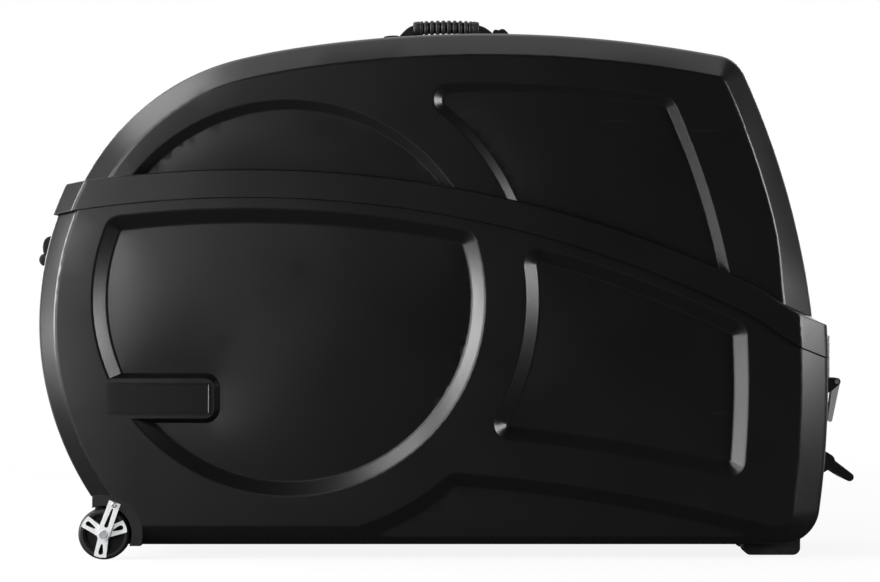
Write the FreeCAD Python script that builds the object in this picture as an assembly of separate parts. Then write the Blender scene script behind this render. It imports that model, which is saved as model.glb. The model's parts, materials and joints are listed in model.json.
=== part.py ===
import FreeCAD
import Part

import math
import os

# Hard travel case for a bicycle: a deep tub on two wheels and two feet, and a lift-off lid.
# Millimetres. X runs along the case from nose to tail, Y through its depth (the near side is
# negative), Z is up from the floor. The case is the same on its near and far sides.

# Shell sheet and depths, measured from the middle plane
WALL = 3.0
BASE_HALF_DEPTH = 180.0
LID_INSET = 6.0
BAND_PROUD_SIDE = 4.0
PANEL_DEPTH = 16.0
GROUND_CLEARANCE = 22.0

# Tub outline: a round nose, a nearly upright tail and a flat bottom
BASE_NOSE_X = -649.9
BASE_NOSE_Z = 376.0
BASE_NOSE_RADIUS = 503.3
BASE_TAIL_X = 612.0
BASE_TAIL_Z = 280.0
BASE_TAIL_RADIUS = 1500.0
BASE_TAIL_CORNER = 62.0
BASE_NOSE_CORNER = 45.0
BASE_BEVEL = 30.0

# Lid outline: a long crown, a shoulder and a nose that flow into each other, and a sloping tail
LID_CROWN_X = 63.5
LID_CROWN_Z = 840.0
LID_CROWN_RADIUS = 2024.5
LID_SHOULDER_RADIUS = 1173.6
LID_SHOULDER_JOIN = 98.3
LID_NOSE_RADIUS = 383.0
LID_NOSE_JOIN = 103.2
LID_TAIL_X = 597.9
LID_TAIL_Z = 231.5
LID_TAIL_RADIUS = 1304.5
LID_TAIL_CORNER = 56.0
LID_BEVEL = 38.0

# Parting curve, and the lid's rim band that laps over the tub
PARTING_X = -314.0
PARTING_Z = 575.5
PARTING_RADIUS = 1797.0
BAND_HEIGHT = 45.0
BAND_PROUD_NOSE = 7.0
BAND_PROUD_TAIL = 0.5
BAND_BEVEL = 30.0
BAND_GAP = 0.6
SHOULDER_ROUND = 3.0
BAND_EDGE_ROUND = 1.0
RIM_STEP = 1.0
RIM_CLEARANCE = 0.7
RIM_LEDGE = 4.0

# Rounding of the shell edges
BEVEL_FACE_ROUND = 9.0
BEVEL_WALL_ROUND = 16.0
BASE_PANEL_ROUND = 8.0
LID_PANEL_ROUND = 6.0

# Sunk panels: a wheel disc, a tail panel and a bottom panel
DISC_X = -249.0
DISC_Z = 413.5
BASE_DISC_RADIUS = 312.0
LID_DISC_RADIUS = 317.0
RING_WIDTH = 65.0
BASE_SLOPE = 21.0
LID_SLOPE = 14.0
PANEL_CORNER = 26.0
PARTING_LAND = 18.0
BASE_TAIL_LAND = 131.0
LID_TAIL_LAND = 125.0
LID_CROWN_LAND = 82.0
STRIP_X = -180.6
STRIP_Z = 145.4
STRIP_RADIUS = 2700.0
STRIP_WIDTH = 59.0

# Badge pad and its bare plate
PAD_X = -455.0
PAD_Z = 256.5
PAD_LENGTH = 176.0
PAD_HEIGHT = 63.0
PAD_CORNER = 7.0
PAD_DRAFT = 8.0
PAD_LIP = 0.3
PLATE_LENGTH = 165.0
PLATE_HEIGHT = 51.0
PLATE_THICKNESS = 2.0
PLATE_CORNER = 3.0

# Wheels, axles and their housings
WHEEL_X = -543.0
WHEEL_RADIUS = 41.0
WHEEL_WIDTH = 28.0
WHEEL_INSET = 6.0
WHEEL_FRONT_GAP = 3.0
WHEEL_BACK_GAP = 4.0
TYRE_THICKNESS = 8.0
TYRE_ROUND = 5.0
RIM_THICKNESS = 3.5
RIM_WIDTH = 22.0
WEB_DEPTH = 8.0
WEB_THICKNESS = 5.0
HUB_RADIUS = 11.0
SPOKE_ANGLES = (146.0, 20.0, 261.0)
SPOKE_REACH = 37.5
SPOKE_ROOT = 7.5
SPOKE_TIP = 10.0
SPOKE_PROUD = 2.2
SPOKE_SLOT = (18.0, 29.5)
SPOKE_SLOT_ROOT = 1.8
SPOKE_SLOT_TIP = 3.8
BUSH_WALL = 3.0
AXLE_RADIUS = 4.0
AXLE_CAP_RADIUS = 7.0
AXLE_CAP = 1.75
HOUSING_RADIUS = 62.0
HOUSING_PLATE = 4.0
HOUSING_OVERHANG = 18.0
HOUSING_GAP = 4.0
HOUSING_SCREW_CIRCLE = 30.0
HOUSING_SCREW_ANGLES = (-5.0, 45.0, 95.0)
STRUT_ANGLE = 70.0
STRUT_THICKNESS = 3.5
STRUT_EYE = 10.0
STRUT_END = 9.5
STRUT_MARGIN = 4.5
STRUT_SLOT = (14.5, 42.0)
STRUT_SLOT_ROOT = 3.2
STRUT_SLOT_TIP = 1.4
STRUT_SCREW = 14.0

# Feet
FOOT_X = 528.0
FOOT_Y = 70.0
FOOT_LENGTH = 92.0
FOOT_WIDTH = 50.0
FOOT_ROUND = 12.0
FOOT_SCREW_STEPS = (-35.0, -12.0)
FOOT_SCREW = 14.0

# Draw latches on the tail
LATCH_Y = 95.0
LATCH_Z = 281.0
LATCH_REACH = 19.0
LATCH_WIDTH = 32.0
LATCH_EAR = 3.0
LATCH_PLATE = 3.0
LATCH_PLATE_HEIGHT = 46.0
LATCH_PIN_RADIUS = 2.5
LATCH_PIN_HEAD = 1.2
LATCH_EYE = 6.0
LATCH_ROOT = 12.0
LEVER_LENGTH = 66.0
LEVER_LEAN = 9.5
LEVER_CHEEK = 2.5
LEVER_WEB = 2.5
LEVER_WEB_START = 15.0
LEVER_TIP = 7.0
HOOK_THROW = 8.0
HOOK_ANGLE = -110.0
HOOK_PIN_RADIUS = 2.0
HOOK_EYE = 4.2
HOOK_THICKNESS = 2.5
HOOK_WIDTH = 15.0
STRIKE_Z = 346.0
STRIKE_HEIGHT = 30.0
STRIKE_WIDTH = 30.0
STRIKE_PLATE = 2.5
STRIKE_RIB = 4.0
STRIKE_RIB_HEIGHT = 8.0

# Strap handles: one on the crown, one on the nose
GRIP_LENGTH = 110.0
GRIP_RADIUS = 10.5
GRIP_RIBS = 9
GRIP_RIB_DEPTH = 1.2
GRIP_COLLAR = 9.0
CROWN_HANDLE_X = 1.5
CROWN_GRIP_LIFT = 24.5
NOSE_HANDLE_Z = 478.0
NOSE_GRIP_REACH = 16.0
BRACKET_SPACING = 180.0
BRACKET_LENGTH = 26.0
BRACKET_WIDTH = 28.0
BRACKET_HEIGHT = 11.0
BRACKET_ROUND = 4.0
STRAP_WIDTH = 18.0
STRAP_THICKNESS = 3.0
NOSE_BRACKET_RISE = 20.0
NOSE_EYE_RADIUS = 4.6
NOSE_EYE_LENGTH = 8.0
NOSE_STRAP_ROOT = 8.0
NOSE_PIN_RADIUS = 2.0
NOSE_PIN_SEAT = 10.0

# Tow handle on the tail
TOW_Z = 150.0
TOW_REACH = 15.0
TOW_LEAN = -35.0
TOW_LENGTH = 45.9
TOW_WIDTH = 124.0
TOW_ROOT = 18.0
TOW_TIP = 14.0
TOW_ARM = 14.0
TOW_BAR = 15.0
TOW_EDGE_ROUND = 1.5
TOW_PIN_RADIUS = 3.0
TOW_PIN_HEAD = 1.5
TOW_EAR = 7.0
TOW_EAR_ROOT = 16.0
TOW_PLATE = 4.0
TOW_PLATE_HEIGHT = 40.0
TOW_PLATE_END = 18.0

# Bicycle carrier inside the tub
RAIL_X = 45.0
RAIL_LENGTH = 700.0
RAIL_WIDTH = 40.0
RAIL_HEIGHT = 20.0
RAIL_WALL = 2.5
RAIL_SUPPORT_HEIGHT = 30.0
RAIL_SUPPORT_LENGTH = 60.0
RAIL_SUPPORT_WIDTH = 70.0
RAIL_SUPPORT_INSET = 70.0
SUPPORT_ROUND = 4.0
CARRIAGE_WALL = 8.0
CARRIAGE_SKIRT = 10.0
FORK_X = 300.0
FORK_LENGTH = 50.0
FORK_HEIGHT = 70.0
FORK_WIDTH = 96.0
FORK_BARREL = 12.0
FORK_TIP_GAP = 7.5
SKEWER_RADIUS = 4.5
NUT_RADIUS = 10.0
NUT_LENGTH = 12.0
NUT_ROUND = 1.5
SKEWER_LEVER_HUB = 9.0
SKEWER_LEVER_ARM = 8.0
SKEWER_LEVER_TIP = 4.5
SKEWER_LEVER_LENGTH = 52.0
SKEWER_LEVER_THICKNESS = 6.0
CRADLE_X = -60.0
CRADLE_LENGTH = 90.0
CRADLE_HEIGHT = 40.0
CRADLE_ARC = 26.0
CRADLE_ARC_RISE = 8.5
CRADLE_PAD = 6.0

# Fasteners
SCREW_HEAD_RADIUS = 4.5
SCREW_HEAD_HEIGHT = 2.6
SCREW_SHANK_RADIUS = 2.0
SCREW_SOCKET = 1.4
SOCKET_SIDES = 6
SCREW_SHOW = 3.0

# Clearances
RUNNING = 0.05
SEAT = 0.05
SLIDE_GAP = 0.4
SIDE_GAP = 0.5

# How far cutting tools reach, and how near counts as the same place
TOOL_REACH = 400.0
SAME_PLACE = 1e-4
ON_CURVE = 0.03

V = FreeCAD.Vector
Y_AXIS = V(0, 1, 0)
FLOW = None


class Round:
    """A round side of an outline, in (x, z). The outline lies inside the circle, or outside it."""

    def __init__(self, x, z, radius, inside=True):
        self.x = x
        self.z = z
        self.radius = radius
        self.inside = inside

    def moved_in(self, distance):
        radius = self.radius - distance if self.inside else self.radius + distance
        return Round(self.x, self.z, radius, self.inside)

    def heading(self, point):
        """Direction of travel at a point, with the outline's inside on the left."""
        dx = (point[0] - self.x) / self.radius
        dz = (point[1] - self.z) / self.radius
        return (-dz, dx) if self.inside else (dz, -dx)

    def foot(self, point):
        """The place on the circle nearest to a point."""
        dx = point[0] - self.x
        dz = point[1] - self.z
        share = self.radius / math.hypot(dx, dz)
        return (self.x + dx * share, self.z + dz * share)

    def x_at(self, z, tail=True):
        half = math.sqrt(self.radius**2 - (z - self.z) ** 2)
        return self.x + half if tail else self.x - half

    def z_at(self, x):
        return self.z + math.sqrt(self.radius**2 - (x - self.x) ** 2)

    def edge(self, start, end, y):
        return arc_edge((self.x, self.z), start, end, y, self.inside)


class Straight:
    """A straight side of an outline through (x, z), with its inward direction in degrees."""

    def __init__(self, x, z, inward):
        self.x = x
        self.z = z
        self.inward = inward
        self.nx = math.cos(math.radians(inward))
        self.nz = math.sin(math.radians(inward))

    def moved_in(self, distance):
        return Straight(self.x + self.nx * distance, self.z + self.nz * distance, self.inward)

    def heading(self, point):
        return (self.nz, -self.nx)

    def foot(self, point):
        height = (point[0] - self.x) * self.nx + (point[1] - self.z) * self.nz
        return (point[0] - height * self.nx, point[1] - height * self.nz)

    def edge(self, start, end, y):
        return line_edge(start, end, y)


def arc_edge(centre, start, end, y, anticlockwise=True):
    """An arc about a centre, from one (x, z) point to another, in the plane at y."""
    radius = math.dist(centre, start)
    first = math.atan2(start[1] - centre[1], start[0] - centre[0])
    last = math.atan2(end[1] - centre[1], end[0] - centre[0])
    if anticlockwise and last <= first:
        last += 2 * math.pi
    if not anticlockwise and last >= first:
        last -= 2 * math.pi
    middle = (first + last) / 2
    through = V(centre[0] + radius * math.cos(middle), y, centre[1] + radius * math.sin(middle))
    return Part.Arc(V(start[0], y, start[1]), through, V(end[0], y, end[1])).toShape()


def crossings(a, b):
    """The points where two sides cross."""
    if isinstance(a, Straight) and isinstance(b, Straight):
        along_a = a.heading(None)
        along_b = b.heading(None)
        slant = along_a[0] * along_b[1] - along_a[1] * along_b[0]
        run = ((b.x - a.x) * along_b[1] - (b.z - a.z) * along_b[0]) / slant
        return [(a.x + run * along_a[0], a.z + run * along_a[1])]
    if isinstance(a, Straight):
        a, b = b, a
    if isinstance(b, Straight):
        foot = b.foot((a.x, a.z))
        half = math.sqrt(a.radius**2 - math.dist(foot, (a.x, a.z)) ** 2)
        along = b.heading(None)
        return [(foot[0] + s * half * along[0], foot[1] + s * half * along[1]) for s in (1, -1)]
    dx = b.x - a.x
    dz = b.z - a.z
    apart = math.hypot(dx, dz)
    along = (a.radius**2 - b.radius**2 + apart**2) / (2 * apart)
    half = math.sqrt(a.radius**2 - along**2)
    x = a.x + dx * along / apart
    z = a.z + dz * along / apart
    return [(x - s * dz * half / apart, z + s * dx * half / apart) for s in (1, -1)]


def corner(a, b):
    """The crossing where the outline turns from side a to side b."""

    def turn(point):
        into = a.heading(point)
        out = b.heading(point)
        return into[0] * out[1] - into[1] * out[0]

    return max(crossings(a, b), key=turn)


def outline(sides, corners, y, inset=0.0):
    """A closed wire of the sides in anticlockwise order, with rounded corners.

    A corner of FLOW joins two circles that touch. A negative inset grows the outline."""
    sides = [side.moved_in(inset) for side in sides]
    joints = []
    for i, radius in enumerate(corners):
        a = sides[i]
        b = sides[(i + 1) % len(sides)]
        if radius is FLOW:
            large, small = (a, b) if a.radius > b.radius else (b, a)
            point = large.foot((small.x, small.z))
            joints.append((point, None, point))
            continue
        centre = corner(a.moved_in(radius - inset), b.moved_in(radius - inset))
        joints.append((a.foot(centre), centre, b.foot(centre)))
    edges = []
    for i, side in enumerate(sides):
        edges.append(side.edge(joints[i - 1][2], joints[i][0], y))
        start, centre, end = joints[i]
        if centre is not None:
            edges.append(arc_edge(centre, start, end, y))
    return Part.Wire(edges)


def touching(large, radius, angle):
    """A smaller circle that touches a larger one from inside, at an angle in degrees."""
    run = large.radius - radius
    x = large.x + run * math.cos(math.radians(angle))
    z = large.z + run * math.sin(math.radians(angle))
    return Round(x, z, radius)


def slab(wire, run):
    """A wire's face, drawn out along Y."""
    return Part.Face(wire).extrude(V(0, run, 0))


def middle(edge):
    return edge.valueAt((edge.FirstParameter + edge.LastParameter) / 2)


def places(edge):
    """The middle and the ends of an edge."""
    return [middle(edge), *(v.Point for v in edge.Vertexes)]


def edges_at(shape, y, wire=None):
    """The edges in the plane at y, or only those that follow a wire in it."""
    found = [e for e in shape.Edges if all(abs(p.y - y) < SAME_PLACE for p in places(e))]
    if wire is None:
        return found
    return [e for e in found if wire.distToShape(Part.Vertex(middle(e)))[0] < ON_CURVE]


def rod(x, z, radius, start, end):
    """A cylinder along Y from start to end."""
    return Part.makeCylinder(radius, abs(end - start), V(x, min(start, end), z), Y_AXIS)


def box(x, y, z):
    """A box between pairs of limits."""
    return Part.makeBox(x[1] - x[0], y[1] - y[0], z[1] - z[0], V(x[0], y[0], z[0]))


def polar(x, z, distance, angle):
    """A point at a distance and an angle in degrees from (x, z)."""
    return (x + distance * math.cos(math.radians(angle)), z + distance * math.sin(math.radians(angle)))


def mirrored(shape):
    """The far copy of a near piece."""
    return shape.mirror(V(0, 0, 0), Y_AXIS)


def both_halves(half):
    return half.fuse(mirrored(half)).removeSplitter()


# Depths that follow the tub's
lid_half_depth = BASE_HALF_DEPTH - LID_INSET
band_half_depth = BASE_HALF_DEPTH + BAND_PROUD_SIDE
panel_half_depth = BASE_HALF_DEPTH - PANEL_DEPTH
wheel_face = BASE_HALF_DEPTH - WHEEL_INSET
housing_front = wheel_face + WHEEL_FRONT_GAP
housing_back = wheel_face - WHEEL_WIDTH - WHEEL_BACK_GAP - HOUSING_PLATE

# Outlines that the shells and their fittings share
base_nose = Round(BASE_NOSE_X + BASE_NOSE_RADIUS, BASE_NOSE_Z, BASE_NOSE_RADIUS)
base_tail = Round(BASE_TAIL_X - BASE_TAIL_RADIUS, BASE_TAIL_Z, BASE_TAIL_RADIUS)
base_bottom = Straight(0, GROUND_CLEARANCE, 90)
base_open = Straight(0, LID_CROWN_Z, -90)
base_sides = [base_tail, base_open, base_nose, base_bottom]
base_corners = [BASE_TAIL_CORNER, BASE_NOSE_CORNER, BASE_NOSE_CORNER, BASE_TAIL_CORNER]

lid_crown = Round(LID_CROWN_X, LID_CROWN_Z - LID_CROWN_RADIUS, LID_CROWN_RADIUS)
lid_shoulder = touching(lid_crown, LID_SHOULDER_RADIUS, LID_SHOULDER_JOIN)
lid_nose = touching(lid_shoulder, LID_NOSE_RADIUS, LID_NOSE_JOIN)
lid_tail = Round(LID_TAIL_X - LID_TAIL_RADIUS, LID_TAIL_Z, LID_TAIL_RADIUS)
lid_open = Straight(0, LID_TAIL_Z, 90)
lid_sides = [lid_tail, lid_crown, lid_shoulder, lid_nose, lid_open]
lid_corners = [LID_TAIL_CORNER, FLOW, FLOW, LID_TAIL_CORNER, LID_TAIL_CORNER]

band_nose = base_nose.moved_in(-BAND_PROUD_NOSE)
band_tail = base_tail.moved_in(-BAND_PROUD_TAIL)
band_sides = [band_tail, base_open, band_nose, base_bottom]

rim_tail_step = WALL + RIM_CLEARANCE - BAND_PROUD_TAIL
rim_sides = [base_tail.moved_in(rim_tail_step), base_open, base_nose.moved_in(RIM_STEP), base_bottom]
rim_half_depth = BASE_HALF_DEPTH - RIM_STEP

parting = Round(PARTING_X, PARTING_Z - PARTING_RADIUS, PARTING_RADIUS)
shoulder_radius = PARTING_RADIUS + BAND_HEIGHT
base_top_radius = PARTING_RADIUS - BAND_GAP
rim_top_radius = shoulder_radius - WALL - BAND_GAP
ledge_radius = base_top_radius - RIM_LEDGE

ring_radius = BASE_DISC_RADIUS + RING_WIDTH
strip = Round(STRIP_X, STRIP_Z - STRIP_RADIUS, STRIP_RADIUS)
floor_z = GROUND_CLEARANCE + WALL

# Places that the fittings share
wheel_centre = (WHEEL_X, WHEEL_RADIUS)
tyre_bore = WHEEL_RADIUS - TYRE_THICKNESS
hub_faces = (SIDE_GAP - wheel_face, WHEEL_WIDTH - wheel_face - SIDE_GAP)
bush_outer = AXLE_RADIUS + RUNNING + BUSH_WALL
web_face = WEB_DEPTH - wheel_face
rim_inner = tyre_bore - SEAT - RIM_THICKNESS
housing_plate_face = -housing_back - HOUSING_PLATE
strut_face = -housing_front - STRUT_THICKNESS
strut_reach = WHEEL_RADIUS + HOUSING_GAP + STRUT_MARGIN
strut_end = polar(*wheel_centre, strut_reach, STRUT_ANGLE)

latch_pivot = (base_tail.x_at(LATCH_Z) + LATCH_REACH, LATCH_Z)
hook_pin = polar(*latch_pivot, HOOK_THROW, HOOK_ANGLE)
cheek_outer = LATCH_WIDTH / 2 - LATCH_EAR - SIDE_GAP
cheek_inner = cheek_outer - LEVER_CHEEK
strike_face = band_tail.x_at(STRIKE_Z) + STRIKE_PLATE + STRIKE_RIB

crown_grip_z = lid_crown.z_at(CROWN_HANDLE_X) + CROWN_GRIP_LIFT
nose_grip_x = base_nose.x_at(NOSE_HANDLE_Z, tail=False) - NOSE_GRIP_REACH
nose_bracket_z = NOSE_HANDLE_Z + NOSE_BRACKET_RISE
nose_bracket_face = base_nose.x_at(nose_bracket_z, tail=False) - BRACKET_HEIGHT
nose_pivot = (nose_bracket_face + BRACKET_HEIGHT / 2, nose_bracket_z)
bracket_inner = (BRACKET_SPACING - BRACKET_LENGTH) / 2

tow_pivot = (base_tail.x_at(TOW_Z) + TOW_REACH, TOW_Z)
tow_ear_start = TOW_WIDTH / 2 + SIDE_GAP
tow_ear_end = tow_ear_start + TOW_EAR

rail_bottom = floor_z + RAIL_SUPPORT_HEIGHT
rail_top = rail_bottom + RAIL_HEIGHT
rail_ends = (RAIL_X - RAIL_LENGTH / 2, RAIL_X + RAIL_LENGTH / 2)
skewer_axis = (FORK_X, rail_top + FORK_HEIGHT)
skewer_nut_start = FORK_WIDTH / 2 + FORK_TIP_GAP
skewer_reach = skewer_nut_start + NUT_LENGTH
cradle_top = rail_top + CRADLE_HEIGHT
cradle_axis = (CRADLE_X, cradle_top + CRADLE_ARC_RISE)


def under_curve(radius):
    """Everything under a curve that runs with the parting curve. Its seam lies far below."""
    tool = rod(parting.x, parting.z, radius, -TOOL_REACH, TOOL_REACH)
    tool.rotate(V(parting.x, 0, parting.z), Y_AXIS, 180)
    return tool


def edges_on_curve(shape, radius):
    """The edges off the middle plane that run on such a curve."""

    def on_curve(point):
        return abs(math.hypot(point.x - parting.x, point.z - parting.z) - radius) < ON_CURVE

    outer = [e for e in shape.Edges if abs(middle(e).y) > SAME_PLACE]
    return [e for e in outer if all(on_curve(p) for p in places(e))]


def half_block(sides, corners, depth, bevel, inset=0.0, rounded=True):
    """A block from the middle plane to its near face, with a flat bevel round that face."""
    block = slab(outline(sides, corners, 0, inset), -depth)
    block = block.makeChamfer(bevel, edges_at(block, -depth))
    if rounded:
        block = block.makeFillet(BEVEL_WALL_ROUND, edges_at(block, bevel - depth))
        block = block.makeFillet(BEVEL_FACE_ROUND, edges_at(block, -depth))
    return block


def half_hollow(sides, corners, depth, bevel, wall_inset=0.0):
    """The space inside a half block, one wall thickness from its faces and its bevel."""
    inner_bevel = bevel - WALL * (2 - math.sqrt(2))
    return half_block(sides, corners, depth - WALL, inner_bevel, wall_inset + WALL, rounded=False)


class Panel:
    """A sunk panel: its mouth's outline on a shell's face, its depth and the width of its slope."""

    def __init__(self, sides, corners, face, slope):
        self.sides = sides
        self.corners = corners
        self.face = face
        self.depth = face - panel_half_depth
        self.slope = slope

    def cutter(self, wall=0.0):
        """What the panel takes out of a block. A wall makes it thicker by that much all over."""
        lead = WALL
        grow = (self.slope * lead + wall * math.hypot(self.depth, self.slope)) / self.depth
        start = -self.face - lead - BASE_BEVEL
        end = wall - panel_half_depth
        tool = slab(outline(self.sides, self.corners, start, -grow), end - start)
        height = self.depth + lead + wall
        return tool.makeChamfer(height, self.slope * height / self.depth, edges_at(tool, end))

    def rounded(self, shell, radius):
        """The shell with the panel's mouth and floor edges rounded."""
        mouth = outline(self.sides, self.corners, -self.face)
        floor = outline(self.sides, self.corners, -panel_half_depth, self.slope)
        edges = edges_at(shell, -self.face, mouth) + edges_at(shell, -panel_half_depth, floor)
        return shell.makeFillet(radius, edges)


def base_panels():
    top = parting.moved_in(PARTING_LAND)
    ring = Round(DISC_X, DISC_Z, ring_radius, inside=False)
    tail = base_tail.moved_in(BASE_TAIL_LAND)
    upper_strip = Round(strip.x, strip.z, STRIP_RADIUS + STRIP_WIDTH, inside=False)
    past_tail = Straight(BASE_TAIL_X + BASE_TAIL_LAND, 0, 180)
    under = Straight(0, -BASE_HALF_DEPTH, 90)
    disc_sides = [Round(DISC_X, DISC_Z, BASE_DISC_RADIUS), top]
    tail_sides = [tail, top, ring, upper_strip]
    bottom_sides = [strip, ring, Straight(DISC_X, 0, 0), under, past_tail]
    panels = []
    for sides in (disc_sides, tail_sides, bottom_sides):
        panels.append(Panel(sides, [PANEL_CORNER] * len(sides), BASE_HALF_DEPTH, BASE_SLOPE))
    return panels


def lid_panels():
    ring = Round(DISC_X, DISC_Z, LID_DISC_RADIUS + RING_WIDTH, inside=False)
    low = Straight(0, LID_TAIL_Z, 90)
    crown = lid_crown.moved_in(LID_CROWN_LAND)
    tail = lid_tail.moved_in(LID_TAIL_LAND)
    disc_sides = [Round(DISC_X, DISC_Z, LID_DISC_RADIUS), low]
    tail_sides = [tail, crown, ring, low]
    panels = []
    for sides in (disc_sides, tail_sides):
        panels.append(Panel(sides, [PANEL_CORNER] * len(sides), lid_half_depth, LID_SLOPE))
    return panels


def rectangle(x, z, length, height):
    """Sides of an upright rectangle, in anticlockwise order."""
    tail = Straight(x + length / 2, z, 180)
    top = Straight(x, z + height / 2, -90)
    nose = Straight(x - length / 2, z, 0)
    return [tail, top, nose, Straight(x, z - height / 2, 90)]


def badge_pad(wall=0.0):
    """The raised pad for the badge, standing in the disc panel. A wall makes it smaller."""
    sides = rectangle(PAD_X, PAD_Z, PAD_LENGTH, PAD_HEIGHT)
    draft = PAD_DRAFT / PANEL_DEPTH
    lead = 0.0 if wall else WALL
    inset = wall * math.hypot(1, draft) - PAD_DRAFT
    start = WALL + wall - panel_half_depth
    end = wall - lead - BASE_HALF_DEPTH
    start_inset = inset - draft * (WALL + wall)
    tool = slab(outline(sides, [PAD_CORNER + PAD_DRAFT] * 4, start, start_inset), end - start)
    height = start - end - PAD_LIP
    return tool.makeChamfer(height, draft * height, edges_at(tool, end))


def base_shell():
    disc, side, bottom = base_panels()
    block = half_block(base_sides, base_corners, BASE_HALF_DEPTH, BASE_BEVEL)
    block = block.cut([disc.cutter().cut(badge_pad()), side.cutter()])
    block = side.rounded(block, BASE_PANEL_ROUND)
    block = disc.rounded(block, BASE_PANEL_ROUND)
    block = bottom.rounded(block.cut(bottom.cutter()), BASE_PANEL_ROUND)
    rim = half_block(rim_sides, base_corners, rim_half_depth, BASE_BEVEL, rounded=False)
    rim = rim.common(under_curve(rim_top_radius)).cut(under_curve(ledge_radius))
    block = block.common(under_curve(base_top_radius)).fuse(rim)
    well = HOUSING_RADIUS + SEAT
    block = block.cut(wheel_rod(well, -TOOL_REACH, -housing_back))
    backing = [disc.cutter(WALL).cut(badge_pad(WALL)), side.cutter(WALL), bottom.cutter(WALL)]
    backing.append(wheel_rod(well + WALL, -TOOL_REACH, WALL - housing_back))
    hollow = half_hollow(base_sides, base_corners, BASE_HALF_DEPTH, BASE_BEVEL)
    hollow = hollow.cut(backing).common(under_curve(ledge_radius))
    mouth = half_hollow(rim_sides, base_corners, rim_half_depth, BASE_BEVEL)
    mouth = mouth.common(under_curve(shoulder_radius)).cut(under_curve(ledge_radius - WALL))
    return both_halves(block.cut([hollow, mouth]))


def rim_band():
    """The lid's lapping rim, rounded along its shoulder and along its lower edge."""
    band = half_block(band_sides, base_corners, band_half_depth, BAND_BEVEL)
    band = band.common(under_curve(shoulder_radius)).cut(under_curve(PARTING_RADIUS))
    band = band.makeFillet(SHOULDER_ROUND, edges_on_curve(band, shoulder_radius))
    return band.makeFillet(BAND_EDGE_ROUND, edges_on_curve(band, PARTING_RADIUS))


def lid_shell():
    disc, side = lid_panels()
    block = half_block(lid_sides, lid_corners, lid_half_depth, LID_BEVEL)
    block = block.cut([disc.cutter(), side.cutter()])
    block = side.rounded(block, LID_PANEL_ROUND)
    block = disc.rounded(block, LID_PANEL_ROUND)
    block = block.cut(under_curve(shoulder_radius - WALL / 2)).fuse(rim_band())
    hollow = half_hollow(lid_sides, lid_corners, lid_half_depth, LID_BEVEL)
    hollow = hollow.cut([disc.cutter(WALL), side.cutter(WALL)])
    hollow = hollow.cut(under_curve(shoulder_radius - 2 * WALL))
    mouth = half_hollow(band_sides, base_corners, band_half_depth, BAND_BEVEL)
    mouth = mouth.common(under_curve(shoulder_radius - WALL)).cut(under_curve(PARTING_RADIUS - WALL))
    return both_halves(block.cut([hollow, mouth]))


def line_edge(start, end, y):
    """A straight edge between two (x, z) points, in the plane at y."""
    return Part.LineSegment(V(start[0], y, start[1]), V(end[0], y, end[1])).toShape()


def link(start, start_radius, end, end_radius, y_start, y_end):
    """A flat link along Y between two round ends in (x, z), with straight tangent sides."""
    angle = math.degrees(math.atan2(end[1] - start[1], end[0] - start[0]))
    lean = math.degrees(math.acos((start_radius - end_radius) / math.dist(start, end)))
    end_low = polar(*end, end_radius, angle - lean)
    end_high = polar(*end, end_radius, angle + lean)
    start_low = polar(*start, start_radius, angle - lean)
    start_high = polar(*start, start_radius, angle + lean)
    edges = [
        line_edge(start_low, end_low, y_start),
        arc_edge(end, end_low, end_high, y_start),
        line_edge(end_high, start_high, y_start),
        arc_edge(start, start_high, start_low, y_start),
    ]
    return slab(Part.Wire(edges), y_end - y_start)


def tail_plate(wall, thickness, y, z):
    """A plate of even thickness that lies on a round tail wall, between limits in y and z."""
    plate = rod(wall.x, wall.z, wall.radius + SEAT + thickness, *y)
    plate = plate.cut(rod(wall.x, wall.z, wall.radius + SEAT, *y))
    return plate.common(box((wall.x, wall.x + 2 * wall.radius), y, z))


def screw_length(*layers):
    """A shank that passes through layers and shows its end beyond them."""
    return sum(layers) + SCREW_SHOW


class Screw:
    """A socket-head screw: where its head sits, the way that the head points, and its shank."""

    def __init__(self, seat, out, shank):
        self.seat = seat
        self.out = out
        self.shank = shank

    def solid(self):
        head = Part.makeCylinder(SCREW_HEAD_RADIUS, SCREW_HEAD_HEIGHT, self.seat, self.out)
        top = self.seat + self.out * SCREW_HEAD_HEIGHT
        rim = [e for e in head.Edges if abs((e.CenterOfMass - top).dot(self.out)) < SEAT]
        head = head.makeFillet(SCREW_HEAD_HEIGHT / 2, rim)
        shank = Part.makeCylinder(SCREW_SHANK_RADIUS, self.shank, self.seat, self.out * -1)
        side = self.out.cross(V(self.out.z, self.out.x, self.out.y))
        turns = [FreeCAD.Rotation(self.out, 360 * i / SOCKET_SIDES) for i in range(SOCKET_SIDES)]
        corners = [top + turn.multVec(side) * SCREW_SHANK_RADIUS for turn in turns]
        hexagon = Part.makePolygon([*corners, corners[0]])
        socket = Part.Face(hexagon).extrude(self.out * -SCREW_SOCKET)
        return head.fuse(shank).cut(socket).removeSplitter()

    def hole(self):
        return Part.makeCylinder(SCREW_SHANK_RADIUS + SEAT, self.shank + SEAT, self.seat, self.out * -1)

    def far_copy(self):
        """The same screw on the far side."""
        seat = V(self.seat.x, -self.seat.y, self.seat.z)
        return Screw(seat, V(self.out.x, -self.out.y, self.out.z), self.shank)


def badge_plate():
    sides = rectangle(PAD_X, PAD_Z, PLATE_LENGTH, PLATE_HEIGHT)
    face = -BASE_HALF_DEPTH
    plate = slab(outline(sides, [PLATE_CORNER] * 4, face), -PLATE_THICKNESS)
    return plate.makeFillet(PLATE_THICKNESS / 2, edges_at(plate, face - PLATE_THICKNESS))


def wheel_rod(radius, start, end):
    """A cylinder on the near wheel's axis."""
    return rod(*wheel_centre, radius, start, end)


def through_wheel(radius):
    """A cylinder on the near wheel's axis that reaches right through everything there."""
    return wheel_rod(radius, -TOOL_REACH, 0)


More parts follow.
